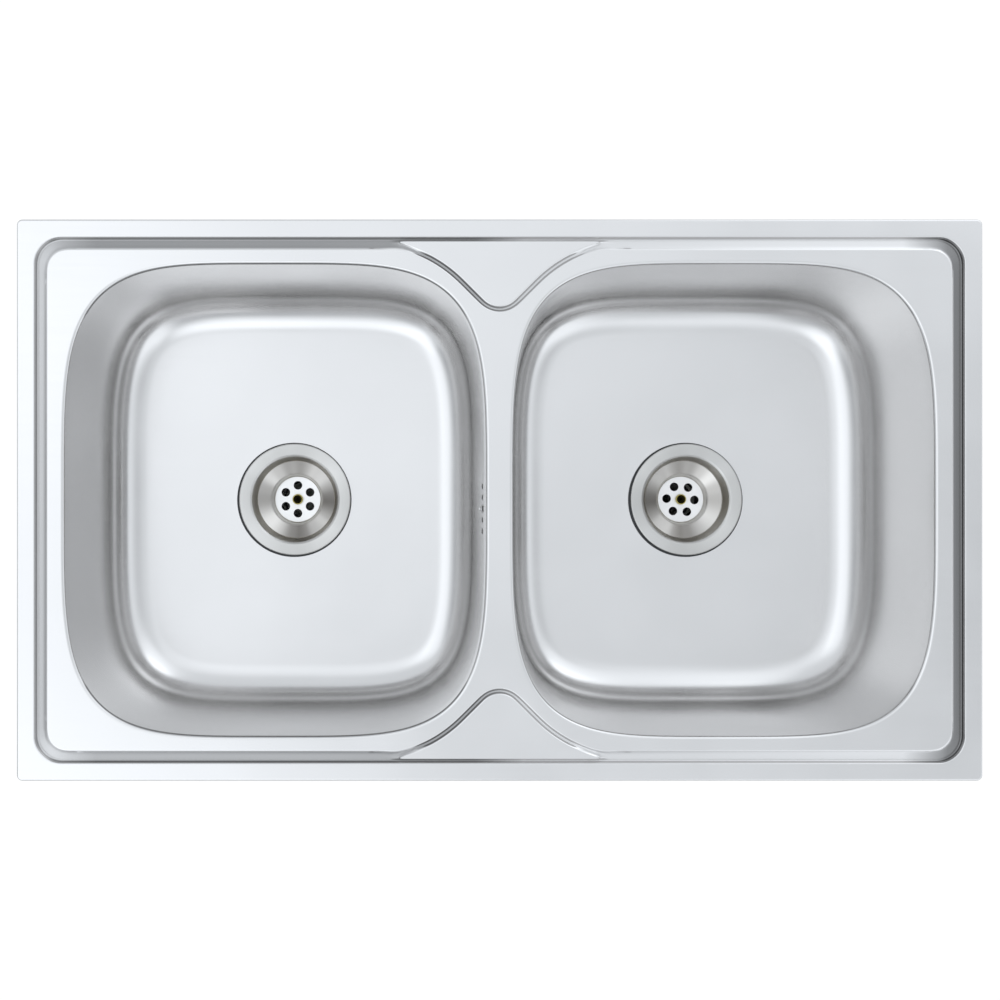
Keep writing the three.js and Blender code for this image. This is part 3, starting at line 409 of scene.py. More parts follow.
# Stainless sheet, deep drawn and left satin: broad soft clouds in its sheen, a very slight
# waviness from the press, and drawing lines along X that only roughen it in faint streaks.
# In the groove round the deck the skin is darkened to the shares below, on the left and the right
# of the middle. A press doesn't leave that: it stands in for dark surroundings that the photograph
# mirrors there and that the lights here don't give. The bowls, further down, keep the bright skin.
def pressedStainless():
    look = {
        "cloud": 95, "ripple": 55, "line": 3, "ends": (0.7, 0.3), "sides": (0.47, 0.88), "middle": 22,
        "turnFrom": 70, "turnTo": 30, "ringX": (30, 28), "ringY": (90, 82), "top": (2.2, 1.5),
        "foot": (-0.6, -0.2),
    }
    skin = Surface("pressedStainlessSatin", "#d3d2d1", 1, 0.22)
    cloud = skin.noise(look["cloud"], 2)
    stretched = skin.node("Mapping", {"Vector": skin.place, "Scale": (9, 1 / (look["line"] * mm), 90)})
    line = skin.node("TexNoise", {"Vector": stretched, "Scale": 1, "Detail": 1}, "Fac")
    skin.sheen(skin.mix(0.25, cloud, line), 0.19, 0.26, 0.35, 0.65)
    tint = skin.tint(cloud, "#cfcecd", "#d6d5d4")
    x, y, z = skin.apart(skin.place)
    alongX, alongY = skin.math("ABSOLUTE", x), skin.math("ABSOLUTE", y)
    ring = skin.math("MAXIMUM", skin.ramp(alongX, *(halfLength - edge for edge in look["ringX"])),
                     skin.ramp(alongY, *(halfWidth - edge for edge in look["ringY"])))
    low = skin.math("MULTIPLY", skin.ramp(z, *look["top"]), skin.ramp(z, *look["foot"]))
    right = skin.ramp(x, -look["middle"], look["middle"])
    atEnds, onSides = (skin.mix(right, *look[k]) for k in ("ends", "sides"))
    turning = skin.ramp(alongX, halfLength - look["turnFrom"], halfLength - look["turnTo"])
    share = skin.mix(skin.math("MULTIPLY", low, ring), 1, skin.mix(turning, onSides, atEnds))
    skin.feed("Base Color", skin.node("VectorMath", {0: tint, 3: share}, operation="SCALE"))
    skin.relief(skin.noise(look["ripple"], 0), 1, 0.1)
    return skin.material


# Steel spun and turned on a lathe: rings about the waste's own axis, and a tangent along them, which
# pulls the highlights out where stretch isn't zero. The four lighter wedges are painted highlights: a
# tint that follows the direction from the axis, with some cloud in it, that the lights alone don't give.
# Both wastes lie the same way off the middle, so X is folded over onto one axis.
def turnedStainless(name, dark, light, roughness, depth, stretch=0):
    look = {"ring": 0.8, "wedge": 1.5, "cloudy": 0.35}
    skin = Surface(name, light, 1, roughness, Anisotropic=stretch)
    x, y, _ = skin.apart(skin.place)
    flat = skin.node("CombineXYZ", {0: skin.math("SUBTRACT", skin.math("ABSOLUTE", x), wasteX * mm), 1: y})
    outward = skin.vector("NORMALIZE", flat)
    skin.feed("Tangent", skin.vector("CROSS_PRODUCT", (0, 0, 1), outward))
    cloud = skin.node("TexNoise", {"Vector": outward, "Scale": look["wedge"], "Detail": 1}, "Fac")
    # painted highlights: lighter towards the diagonals round the axis
    wayX, wayY, _ = skin.apart(outward)
    corner = skin.math("MULTIPLY", wayX, wayY)
    paintedHighlightWedges = skin.math("MULTIPLY", skin.math("MULTIPLY", corner, corner), 4)
    skin.tint(skin.mix(look["cloudy"], paintedHighlightWedges, skin.spread(cloud, 0.38, 0.62)), dark, light)
    radius = skin.vector("LENGTH", flat, output="Value")
    rings = skin.node("TexNoise", {"W": radius, "Scale": 1 / (look["ring"] * mm), "Detail": 3}, "Fac",
                      noise_dimensions="1D")
    skin.relief(rings, 0.6, depth)
    skin.sheen(rings, roughness - 0.05, roughness + 0.06)
    return skin.material


# Mild steel, bright zinc plated: blue-grey with the fine crystal mottle of the bath.
def zincPlated():
    skin = Surface("zincPlatedSteel", "#b9bec4", 1, 0.38)
    cloud = skin.noise(9, 4)
    skin.tint(cloud, "#a6abb0", "#cdd0d2")
    skin.sheen(skin.cells(2.5), 0.3, 0.48)
    skin.relief(cloud, 0.3, 0.04)
    return skin.material


# Free-cutting brass, turned and left raw: yellow-green. A near-black copy of it is painted shade in its
# hollows.
def turnedBrass(name, dark, light, roughness):
    skin = Surface(name, light, 1, roughness)
    film = skin.noise(3, 3)
    skin.tint(film, dark, light)
    skin.relief(film, 0.3, 0.03)
    return skin.material


# EPDM rubber, moulded: near black and matt, with a little bloom.
def mouldedRubber():
    skin = Surface("mouldedBlackRubber", "#1b1c1e", 0, 0.62, IOR=1.52)
    skin.tint(skin.noise(6, 4), "#141517", "#26282a")
    skin.relief(skin.noise(0.5, 2), 0.4, 0.05)
    return skin.material


# Near black and half matt: painted shade inside a waste, so that the strainer's holes look black.
def drainPaintedShade():
    skin = Surface("drainPaintedShade", "#141413", 0, 0.5, IOR=1.45)
    skin.tint(skin.noise(5, 3), "#0c0c0b", "#201f1d")
    return skin.material


# Closed-cell PE foam strip: matt grey, pitted with cells about 1 mm across.
def closedCellFoam():
    skin = Surface("closedCellFoam", "#74777b", 0, 0.92, IOR=1.5)
    cells = skin.cells(1.1)
    skin.tint(cells, "#808388", "#5f6266")
    skin.relief(cells, 0.7, 0.3, invert=True)
    return skin.material


# Bitumen damping sheet: dull charcoal, with pressed lines that part it into small diamonds.
def bitumenSheet():
    look = {"halfDiamond": 6, "halfLine": 0.8}
    skin = Surface("bitumenDampingSheet", "#3a3c3f", 0, 0.78, IOR=1.55)
    turned = skin.apart(skin.node("Mapping", {"Vector": skin.place, "Rotation": (0, 0, math.pi / 4)}))
    edges = [skin.ramp(skin.math("PINGPONG", turned[k], look["halfDiamond"] * mm), 0, look["halfLine"])
             for k in (0, 1)]
    grit = skin.noise(1.2, 5)
    skin.tint(grit, "#2b2d2f", "#4a4c4f")
    lattice = skin.relief(skin.math("MULTIPLY", *edges), 0.8, 0.5)
    skin.relief(grit, 0.4, 0.2, lattice)
    return skin.material


# Polypropylene, injection moulded: off-white, half matt, with a fine spark-eroded grain.
def mouldedPolypropylene():
    skin = Surface("mouldedPolypropylene", "#e9e9e4", 0, 0.45, IOR=1.49)
    flow = skin.noise(30, 3)
    skin.tint(flow, "#e2e2dc", "#eeeeea")
    skin.sheen(flow, 0.38, 0.52)
    skin.relief(skin.noise(0.7, 2), 0.25, 0.04)
    return skin.material


halfLength, halfWidth, rimTop = boxOf("sink_shell")[1]
wasteX = middleOf("right_strainer_cup")[0]
spareMaterial = bpy.data.materials.new("spare")
steelSheet = pressedStainless()
steelTurned = turnedStainless("turnedStainless", "#bab7b2", "#cbc9c5", 0.3, 0.03)
steelCone = turnedStainless("turnedStainlessCone", "#7f7b76", "#d6d3ce", 0.3, 0.02, 0.6)
steelFlange = turnedStainless("spunStainlessFlange", "#b9b8b5", "#c9c8c5", 0.32, 0.012, 0.5)
steelDisc = turnedStainless("spunStainlessDisc", "#dedddb", "#e4e3e1", 0.4, 0.004)
brass = turnedBrass("turnedBrass", "#8f8338", "#c9ba72", 0.34)
# a near-black copy of the brass: painted shade for the clamp screw's socket recess
brassPaintedShade = turnedBrass("turnedBrassPaintedShade", "#14130c", "#2b2816", 0.6)
zinc, rubber, wastePaintedShade = zincPlated(), mouldedRubber(), drainPaintedShade()
foam, bitumen, plastic = closedCellFoam(), bitumenSheet(), mouldedPolypropylene()
print("materials made")


# The pressed sheet: rim, groove, deck, islands and bowls.

sheet = {
    "thickness": 0.8,
    "rimWidth": 15, "rimCorner": 5, "rimRoll": 1.6,
    "grooveWidth": 12, "grooveCorner": 25, "lipRadius": 0.9, "wallLean": 0.4, "footRadius": 1.0,
    "slopeShare": 0.74, "stepAt": 0.76, "blend": 6, "deckDrop": 1.5, "deckCorner": 17,
    "endStrip": 12.5, "sideStrip": 14.8, "divider": 24.6,
    "islandDepth": 64.8, "islandRimGroove": 4.5, "islandGroove": 6, "valley": 22, "flank": 26,
    "tipAngle": 0.22, "tipWidth": 2, "islandWall": 2.6,
    "bowlDepth": 150, "squareness": 4.2, "mouthRoll": 3, "draft": math.radians(4), "fillet": 35,
    "floorFall": 2, "floorFlat": 62, "wasteHole": 45.5,
    "rowGap": 3, "bowlPoints": 176,
}
deckZ = rimTop - sheet["deckDrop"]
floorZ = deckZ - sheet["bowlDepth"]
deckInset = sheet["rimWidth"] + sheet["grooveWidth"]
bowlHalfX = (halfLength - deckInset - sheet["sideStrip"] - sheet["divider"] / 2) / 2
bowlHalfY = halfWidth - deckInset - sheet["endStrip"]


def rectangleLoop(inset, radius, cornerSteps=14, sideSteps=(60, 34)):
    halfX, halfY = halfLength - inset, halfWidth - inset
    corners = []
    for sx, sy, start in ((1, -1, -90), (1, 1, 0), (-1, 1, 90), (-1, -1, 180)):
        turn = np.radians(start + np.linspace(0, 90, cornerSteps + 1))
        corners.append(np.stack([sx * (halfX - radius) + radius * np.cos(turn),
                                 sy * (halfY - radius) + radius * np.sin(turn)], axis=1))
    parts = []
    for k, corner in enumerate(corners):
        steps = sideSteps[1 - k % 2]
        share = np.linspace(0, 1, steps + 1)[1:-1, None]
        parts += [corner, corner[-1] * (1 - share) + corners[(k + 1) % 4][0] * share]
    return np.concatenate(parts)


def bowlLoop(inset):
    n = sheet["squareness"]
    turn = np.linspace(0, 2 * math.pi, sheet["bowlPoints"], endpoint=False)
    c, s = np.cos(turn), np.sin(turn)
    x, y = np.sign(c) * np.abs(c) ** (2 / n), np.sign(s) * np.abs(s) ** (2 / n)
    slope = np.stack([np.sign(x) * np.abs(x) ** (n - 1) / bowlHalfX,
                      np.sign(y) * np.abs(y) ** (n - 1) / bowlHalfY], axis=1)
    slope /= np.linalg.norm(slope, axis=1)[:, None]
    return np.stack([x * bowlHalfX, y * bowlHalfY], axis=1) - slope * inset


# Middle of the curved groove on the right half of the back island, valley first.
def islandCurve(shift):
    valleyY = halfWidth - sheet["rimWidth"] - sheet["islandDepth"]
    steep = math.pi / 4
    first = np.linspace(0, steep, 13)
    arc = np.stack([sheet["valley"] * np.sin(first), valleyY + sheet["valley"] * (1 - np.cos(first))], axis=1)
    flankEnd = arc[-1] + sheet["flank"] * np.array([math.cos(steep), math.sin(steep)])
    tipY = halfWidth - sheet["rimWidth"] - sheet["grooveWidth"] / 2 - 2
    shoulder = (tipY - flankEnd[1]) / (math.cos(sheet["tipAngle"]) - math.cos(steep))
    second = np.linspace(steep, sheet["tipAngle"], 25)
    back = np.stack([flankEnd[0] + shoulder * (math.sin(steep) - np.sin(second)),
                     flankEnd[1] + shoulder * (np.cos(second) - math.cos(steep))], axis=1)
    turn = np.concatenate([first, second])
    return np.concatenate([arc, back]) + shift * np.stack([np.sin(turn), -np.cos(turn)], axis=1)


def resampled(loop, gap):
    closed = np.concatenate([loop, loop[:1]])
    run = np.concatenate([[0], np.cumsum(np.linalg.norm(np.diff(closed, axis=0), axis=1))])
    at = np.linspace(0, run[-1], int(run[-1] / gap), endpoint=False)
    return np.stack([np.interp(at, run, closed[:, k]) for k in (0, 1)], axis=1)


def eased(loop, rounds):
    for _ in range(rounds):
        loop = 0.5 * loop + 0.25 * (np.roll(loop, 1, axis=0) + np.roll(loop, -1, axis=0))
    return loop


def grown(loop, distance):
    along = np.roll(loop, -1, axis=0) - np.roll(loop, 1, axis=0)
    along /= np.linalg.norm(along, axis=1)[:, None]
    return loop + distance * np.stack([along[:, 1], -along[:, 0]], axis=1)


def deckOutline():
    half = rectangleLoop(deckInset, sheet["deckCorner"])
    right = islandCurve(sheet["islandGroove"] / 2)
    lead = np.array([[right[-1, 0] + 2 * sheet["islandGroove"], halfWidth - deckInset]])
    front = half[:, 1] < deckInset - halfWidth + 0.01
    pastCorner = half[:, 0] > halfLength - deckInset - sheet["deckCorner"] - 0.01
    side = half[(half[:, 0] > lead[0, 0]) & (~front | pastCorner)]
    flip = np.array([-1, 1])
    back = np.concatenate([side, lead, right[::-1], (right * flip)[1:], lead * flip])
    return eased(resampled(np.concatenate([back, -back]), sheet["rowGap"]), 3)


def islandOutline():
    topY = halfWidth - sheet["rimWidth"] - sheet["islandRimGroove"]
    right = islandCurve(-sheet["islandGroove"] / 2)
    right = right[right[:, 1] < topY - sheet["tipWidth"]]
    side = np.concatenate([right, [[right[-1, 0] + 7, topY - 0.45], [right[-1, 0] + 4, topY]]])
    flip = np.array([-1, 1])
    return eased(resampled(np.concatenate([side, (side * flip)[::-1][:-1]]), 2), 1)


def distanceTo(loop, points):
    start, step = loop, np.roll(loop, -1, axis=0) - loop
    length = (step ** 2).sum(axis=1)
    best = np.full(len(points), 1e9)
    for block in np.array_split(np.arange(len(points)), max(1, len(points) // 2000)):
        off = points[block, None, :] - start[None]
        t = np.clip((off * step).sum(axis=2) / length, 0, 1)
        best[block] = np.sqrt(((off - t[..., None] * step) ** 2).sum(axis=2)).min(axis=1)
    return best


def isInside(loop, points):
    inside = np.zeros(len(points), dtype=bool)
    for (x1, y1), (x2, y2) in zip(loop, np.roll(loop, -1, axis=0)):
        if y1 == y2:
            continue
        crosses = (points[:, 1] < y1) != (points[:, 1] < y2)
        inside ^= crosses & (points[:, 0] < (x2 - x1) * (points[:, 1] - y1) / (y2 - y1) + x1)
    return inside


def smoothStep(value):
    value = np.clip(value, 0, 1)
    return value * value * (3 - 2 * value)


deck, island = deckOutline(), islandOutline()
islands = [island, -island]


# Rim and outer wall of the groove, as (inset, height) from the sheet's lower edge inwards.
def rimProfile():
    roll, lip, foot = sheet["rimRoll"], sheet["lipRadius"], sheet["footRadius"]
    steep = math.pi / 2 - sheet["wallLean"]
    rows = [(0, 0), (0, (rimTop - roll) * 0.5), (0, rimTop - roll)]
    for a in np.linspace(0, math.pi / 2, 7)[1:]:
        rows.append((roll * (1 - math.cos(a)), rimTop - roll * (1 - math.sin(a))))
    edge = sheet["rimWidth"]
    rows += [(roll + 0.5, rimTop), (edge - 0.5, rimTop)]
    for a in np.linspace(0, steep, 6):
        rows.append((edge + lip * math.sin(a), rimTop - lip * (1 - math.cos(a))))
    inset, height = rows[-1]
    drop = height - foot * (1 - math.cos(steep))
    inset += drop / math.tan(steep)
    for a in np.linspace(steep, 0, 6):
        rows.append((inset + foot * (math.sin(steep) - math.sin(a)), foot * (1 - math.cos(a))))
    return rows


def pressedSink():
    points, faces = [], []

    def addLoop(plan, height, dx=0.0):
        first = len(points)
        points.extend((x + dx, y, height) for x, y in plan)
        return np.arange(first, len(points))

    def addBand(outer, plan, height, dx=0.0):
        inner = addLoop(plan, height, dx)
        count = len(outer)
        faces.extend((outer[i], outer[(i + 1) % count], inner[(i + 1) % count], inner[i])
                     for i in range(count))
        return inner

    rows = rimProfile()
    corner = lambda inset: (max(sheet["rimCorner"] - inset, 1.2) if inset < sheet["rimWidth"] / 2
                            else sheet["grooveCorner"] - (inset - sheet["rimWidth"]))
    last = addLoop(rectangleLoop(0, corner(0)), 0)
    for inset, height in rows[1:]:
        last = addBand(last, rectangleLoop(inset, corner(inset)), height)
    footInset = rows[-1][0]
    foot = rectangleLoop(footInset, corner(footInset))

    # Groove floor, islands and deck: rows of points along every edge, joined into a net.
    free = sheet["grooveWidth"] - (footInset - sheet["rimWidth"])

    def heightAt(plan):
        fromFoot = distanceTo(foot, plan)
        gaps = [np.where(isInside(loop, plan), 0, distanceTo(loop, plan)) for loop in (deck, *islands)]
        gap = np.minimum.reduce(gaps)
        across = fromFoot / np.maximum(fromFoot + gap, 1e-6)
        step = smoothStep((across - sheet["stepAt"]) / (1 - sheet["stepAt"]))
        slope = deckZ * (sheet["slopeShare"] * across + (1 - sheet["slopeShare"]) * step)
        wall = deckZ * (1 - smoothStep(gap / sheet["islandWall"]))
        share = smoothStep((fromFoot - free) / sheet["blend"])
        return np.where(gap > 0, slope * (1 - share) + wall * share, deckZ)

    # how far each row lies from the foot of the groove's wall, and from the edge of deck or island
    grooveRows = (0.4, 1.0, 2.2, 4.0, 6.0, 8.0)
    edgeRows = (-0.5, 0.0, 0.35, 0.7, 1.05, 1.4, 1.75, 2.1, 2.6)
    rowsOfPoints = [(foot, True)]
    for a in grooveRows:
        rowsOfPoints.append((rectangleLoop(footInset + a, corner(footInset + a), 14, (120, 68)), "groove"))
    for b in (-1.6, *edgeRows, 3.0):
        rowsOfPoints.append((grown(deck, b), "deck" if b > 0 else True))
    for b in edgeRows:
        rowsOfPoints += [(grown(loop, b), "island" if b > 0 else True) for loop in islands]
    mouths = [bowlLoop(-sheet["mouthRoll"] - extra) + np.array([side * wasteX, 0])
              for side in (-1, 1) for extra in (0, 0.7)]
    rowsOfPoints += [(loop, True) for loop in mouths]

    net, ties = [], []
    for loop, rule in rowsOfPoints:
        keep = np.ones(len(loop), dtype=bool)
        toDeck, toIsland = distanceTo(deck, loop), np.minimum(*[distanceTo(k, loop) for k in islands])
        toFoot = distanceTo(foot, loop) if rule is not True else None
        if rule == "groove":
            keep = (toDeck > 0.8) & (toIsland > 0.45) & ~isInside(deck, loop)
            keep &= ~(isInside(islands[0], loop) | isInside(islands[1], loop))
        if rule == "deck":
            keep = (toFoot > 0.5) & (toIsland > toDeck + 0.2) & isInside(foot, loop)
            keep &= (toDeck < 1.1) | (toFoot > free)
        if rule == "island":
            keep = (toFoot > 0.25) & (toDeck > toIsland + 0.2) & isInside(foot, loop)
        first = len(net)
        place = {}
        for i in np.flatnonzero(keep):
            place[i] = first + len(place)
            net.append(tuple(loop[i]))
        ties += [(place[i], place[(i + 1) % len(loop)]) for i in place if (i + 1) % len(loop) in place]
    verts, _, tris, _, _, _ = delaunay_2d_cdt([Vector(p) for p in net], ties, [], 0, 1e-5, False)
    plan = np.array([tuple(v) for v in verts])
    first = len(points)
    heights = heightAt(plan)
    heights[distanceTo(foot, plan) < 1e-4] = 0
    points.extend((x, y, z) for (x, y), z in zip(plan, heights))
    tris = np.array([tuple(t) for t in tris if len(t) == 3])
    middle = plan[tris].mean(axis=1)
    one, two = plan[tris[:, 1]] - plan[tris[:, 0]], plan[tris[:, 2]] - plan[tris[:, 0]]
    area = one[:, 0] * two[:, 1] - one[:, 1] * two[:, 0]
    keep = ~(isInside(mouths[0], middle) | isInside(mouths[2], middle)) & (np.abs(area) > 1e-6)
    tris[area < 0] = tris[area < 0][:, ::-1]
    faces.extend(tuple(int(first + k) for k in t) for t in tris[keep])

    # Bowls
    roll, draft, fillet = sheet["mouthRoll"], sheet["draft"], sheet["fillet"]
    wall = sheet["bowlDepth"] - sheet["floorFall"] - roll - fillet * (1 - math.sin(draft))
    filletInset = wall * math.tan(draft) + fillet * math.cos(draft)
    filletZ = floorZ + sheet["floorFall"] + fillet
    startInset, startZ = -roll * (1 - math.cos(draft)), deckZ - roll * (1 - math.sin(draft))
    endInset, endZ = filletInset - fillet * math.cos(draft), filletZ - fillet * math.sin(draft)
    rim = bowlLoop(filletInset)
    turn = np.linspace(0, 2 * math.pi, sheet["bowlPoints"], endpoint=False)
    circle = np.stack([np.cos(turn), np.sin(turn)], axis=1)
    for side in (-1, 1):
        dx = side * wasteX
        last = addLoop(bowlLoop(-roll), deckZ, dx)
        for a in np.linspace(0, math.pi / 2 - draft, 9)[1:]:
            last = addBand(last, bowlLoop(-roll * (1 - math.sin(a))), deckZ - roll * (1 - math.cos(a)), dx)
        for t in np.linspace(0, 1, 9)[1:]:
            plan = bowlLoop(startInset + (endInset - startInset) * t)
            last = addBand(last, plan, startZ + (endZ - startZ) * t, dx)
        for a in np.linspace(draft, math.pi / 2, 17)[1:]:
            plan = bowlLoop(filletInset - fillet * math.cos(a))
            last = addBand(last, plan, filletZ - fillet * math.sin(a), dx)
        for t in np.linspace(0, 1, 15)[1:]:
            plan = rim * (1 - t) + circle * sheet["floorFlat"] * t
            last = addBand(last, plan, floorZ + sheet["floorFall"] * (1 - t) ** 1.15, dx)
        for radius in (sheet["floorFlat"] - 4, sheet["wasteHole"] + 1.2, sheet["wasteHole"]):
            last = addBand(last, circle * radius, floorZ, dx)

    sink = newPiece("pressedSink", points, faces, steelSheet, outwards=False)
    thick = sink.modifiers.new("sheet", "SOLIDIFY")
    thick.thickness = sheet["thickness"] * mm
    thick.offset = -1
    thick.use_even_offset = True
    thick.use_quality_normals = True
    bakeModifiers(sink)
    return sink


# Where the overflow row meets the left bowl's inner wall, X outwards from the bowl.
overflow = {
    "count": 5, "pitch": 10.3, "hole": 2.8, "oval": 1.6, "depth": 28, "offset": -8,
    "pipe": 9.6, "pipeBore": 7.9, "clamp": 10.4, "clampLength": 6, "spigotX": 11.1, "boxHalf": 15, "bend": 34,
}
overflowPlace = Matrix.Translation(Vector((
    -sheet["divider"] / 2 - (overflow["depth"] - sheet["mouthRoll"]) * math.tan(sheet["draft"])
    + sheet["thickness"] / math.cos(sheet["draft"]),
    overflow["offset"], deckZ - overflow["depth"])) * mm) @ Matrix.Rotation(sheet["draft"], 4, "Y")

sink = pressedSink()
drills = grownFrom(drillRow, steelSheet, Count=overflow["count"], Pitch=overflow["pitch"] * mm,
                   Radius=overflow["hole"] * mm, Length=10 * mm)
moved(drills, overflowPlace @ Matrix.Translation((0, -2 * overflow["pitch"] * mm, 0))
      @ Matrix.Diagonal((1, 1, overflow["oval"], 1)))
booleaned(sink, drills)
shaded(sink, 38)
settled(sink, "sink_shell")
print("pressed sheet:", len(sink.data.vertices), "points")


# Foam seal under the rim.

seal = {"inset": 2.2, "width": 7, "edge": 0.7}


def rimSeal():
    low, high = boxOf("rim_seal")[0][2], boxOf("rim_seal")[1][2]
    outer, inner = seal["inset"], seal["inset"] + seal["width"]
    corners = [(outer, low), (inner, low), (inner, high), (outer, high)]
    rows = softened(corners, seal["edge"], 4, skipAxis=False)
    plans = [rectangleLoop(inset, max(sheet["rimCorner"] - inset, 1), 6) for inset, _ in rows]
    points = [(x, y, z) for plan, (_, z) in zip(plans, rows) for x, y in plan]
    return newPiece("foamSeal", points, closedNet(len(rows), len(plans[0])), foam)


settled(rimSeal(), "rim_seal")


# Wastes: strainer cup, clamp screw, gaskets, body, washer and nut, and each bowl's damping pad.

waste = {
    "flange": 57, "flangeUnder": 1.6, "flangeThick": 1.2, "gasket": 58.5, "gasketSlip": (-0.7, -0.5),
    "mouth": 43.4, "wall": 40, "wallDepth": 13, "ledge": 1.4, "disc": 23.5, "depth": 25, "sheet": 1,
    "dish": -11.6, "step": 26.6, "dishFoot": -17,
    "hole": 4.5, "holeCircle": 14.6, "holes": 6, "screw": 3, "screwHead": 5.4, "headHeight": 2.8,
    "headWall": 1.0, "key": 2,
    "bodyWall": 3, "bodyFlange": 55, "chamber": 30, "chamberDepth": 12, "cone": 8, "outlet": 20,
    "outletRadius": 23.8, "pipe": 20, "nipple": 7.5, "nippleBore": 5.5, "nippleLength": 21,
    "boss": 5.6, "bossBore": 3.3, "armHalf": 1.2, "lowerGasket": 54, "washerBore": 18,
}
cupFoot = -waste["depth"] - waste["sheet"]
coneFoot = cupFoot - 1
chamberFoot = coneFoot - waste["chamberDepth"]
outletTop = chamberFoot - waste["cone"]
outletEnd = outletTop - waste["outlet"]
gasketTop = -sheet["thickness"] - 0.3
bodyTop = gasketTop - 3.3
nippleZ = (coneFoot + chamberFoot) / 2 - 1


# How far a face's middle lies out from the upright axis through a point, and how high over the point.
def placeOf(face, centre):
    away = face.center - Vector(centre) * mm
    return away.to_2d().length / mm, away.z / mm


def above(centre, height):
    return tuple(Vector(centre) * mm + Vector((0, 0, height * mm)))


def strainerCup(name, centre, turn):
    w = waste
    top = w["flangeUnder"] + w["flangeThick"]
    cone = w["wall"] - w["ledge"]
    profile = [
        (0, -w["depth"]), (0, cupFoot), (w["disc"], cupFoot),
        (cone + w["sheet"], -w["wallDepth"] - w["sheet"]), (w["wall"] + w["sheet"], -w["wallDepth"]),
        (w["mouth"] + w["sheet"], 0),
        (sheet["wasteHole"] + 0.6, w["flangeUnder"]), (w["flange"], w["flangeUnder"]),
        (w["flange"], top - 0.5), (w["flange"] - 1, top), (w["mouth"] + 2.6, top - 0.35),
        (w["mouth"] + 0.5, top - 1.6), (w["wall"] + 0.5, w["dish"] + 1.2), (w["wall"] - 0.3, w["dish"]),
        (w["step"] + 0.6, w["dishFoot"]), (w["step"] - 0.6, w["dishFoot"] - 0.9),
        (w["disc"] + 1, -w["depth"] + 0.9), (w["disc"], -w["depth"]),
    ]
    cup = turnedPiece(name, profile, steelTurned, centre, sides=128, soft=0.5, angle=40)
    for material in (steelFlange, steelDisc, steelCone):
        cup.data.materials.append(material)
    for face in cup.data.polygons:
        out, height = placeOf(face, centre)
        if out > w["mouth"] - 0.4 and height > -2:
            face.material_index = 1
        if out < w["disc"] + 0.3 and height > -w["depth"] - 0.5:
            face.material_index = 2
        if w["step"] < out < w["wall"] and w["dishFoot"] - 0.2 < height < w["dish"]:
            face.material_index = 3
    drills = grownFrom(pinCircle, steelTurned, Count=w["holes"], Circle=w["holeCircle"] * mm, Sides=40,
                       Radius=w["hole"] * mm, Length=8 * mm, Turn=turn,
                       Centre=above(centre, -w["depth"] - 0.5))
    booleaned(cup, drills)
    booleaned(cup, rod(w["screw"] + 0.3, cupFoot - 2, -w["depth"] + 2, centre, sides=40))
    return shaded(cup, 40)


def clampScrew(name, centre):
    w = waste
    head = -w["depth"] + 0.3
    top = head + w["headHeight"]
    end = chamberFoot - 4
    recess = w["screwHead"] - w["headWall"]
    screw = turnedPiece(name, [
        (0, end), (w["screw"] - 0.6, end), (w["screw"] - 0.5, head), (w["screwHead"], head),
        (w["screwHead"], top - 0.5), (w["screwHead"] - 0.5, top), (recess, top), (recess, head + 1.2),
        (w["key"], head), (w["key"], head - 6), (0, head - 6)], brass, centre, sides=64, soft=0.2, angle=40)
    grownFrom(thread, brass, screw, Turns=14.0, Radius=(w["screw"] - 0.42) * mm, Ridge=0.4 * mm,
              Rise=14 * mm, Steps=18, Foot=above(centre, end + 0.5))
    # the socket recess, the key hole and the shank just under the head take the painted shade
    screw.data.materials.append(brassPaintedShade)
    for face in screw.data.polygons:
        out, height = placeOf(face, centre)
        if out < recess + 0.1 and height > head - 6.5:
            face.material_index = len(screw.data.materials) - 1
    return screw


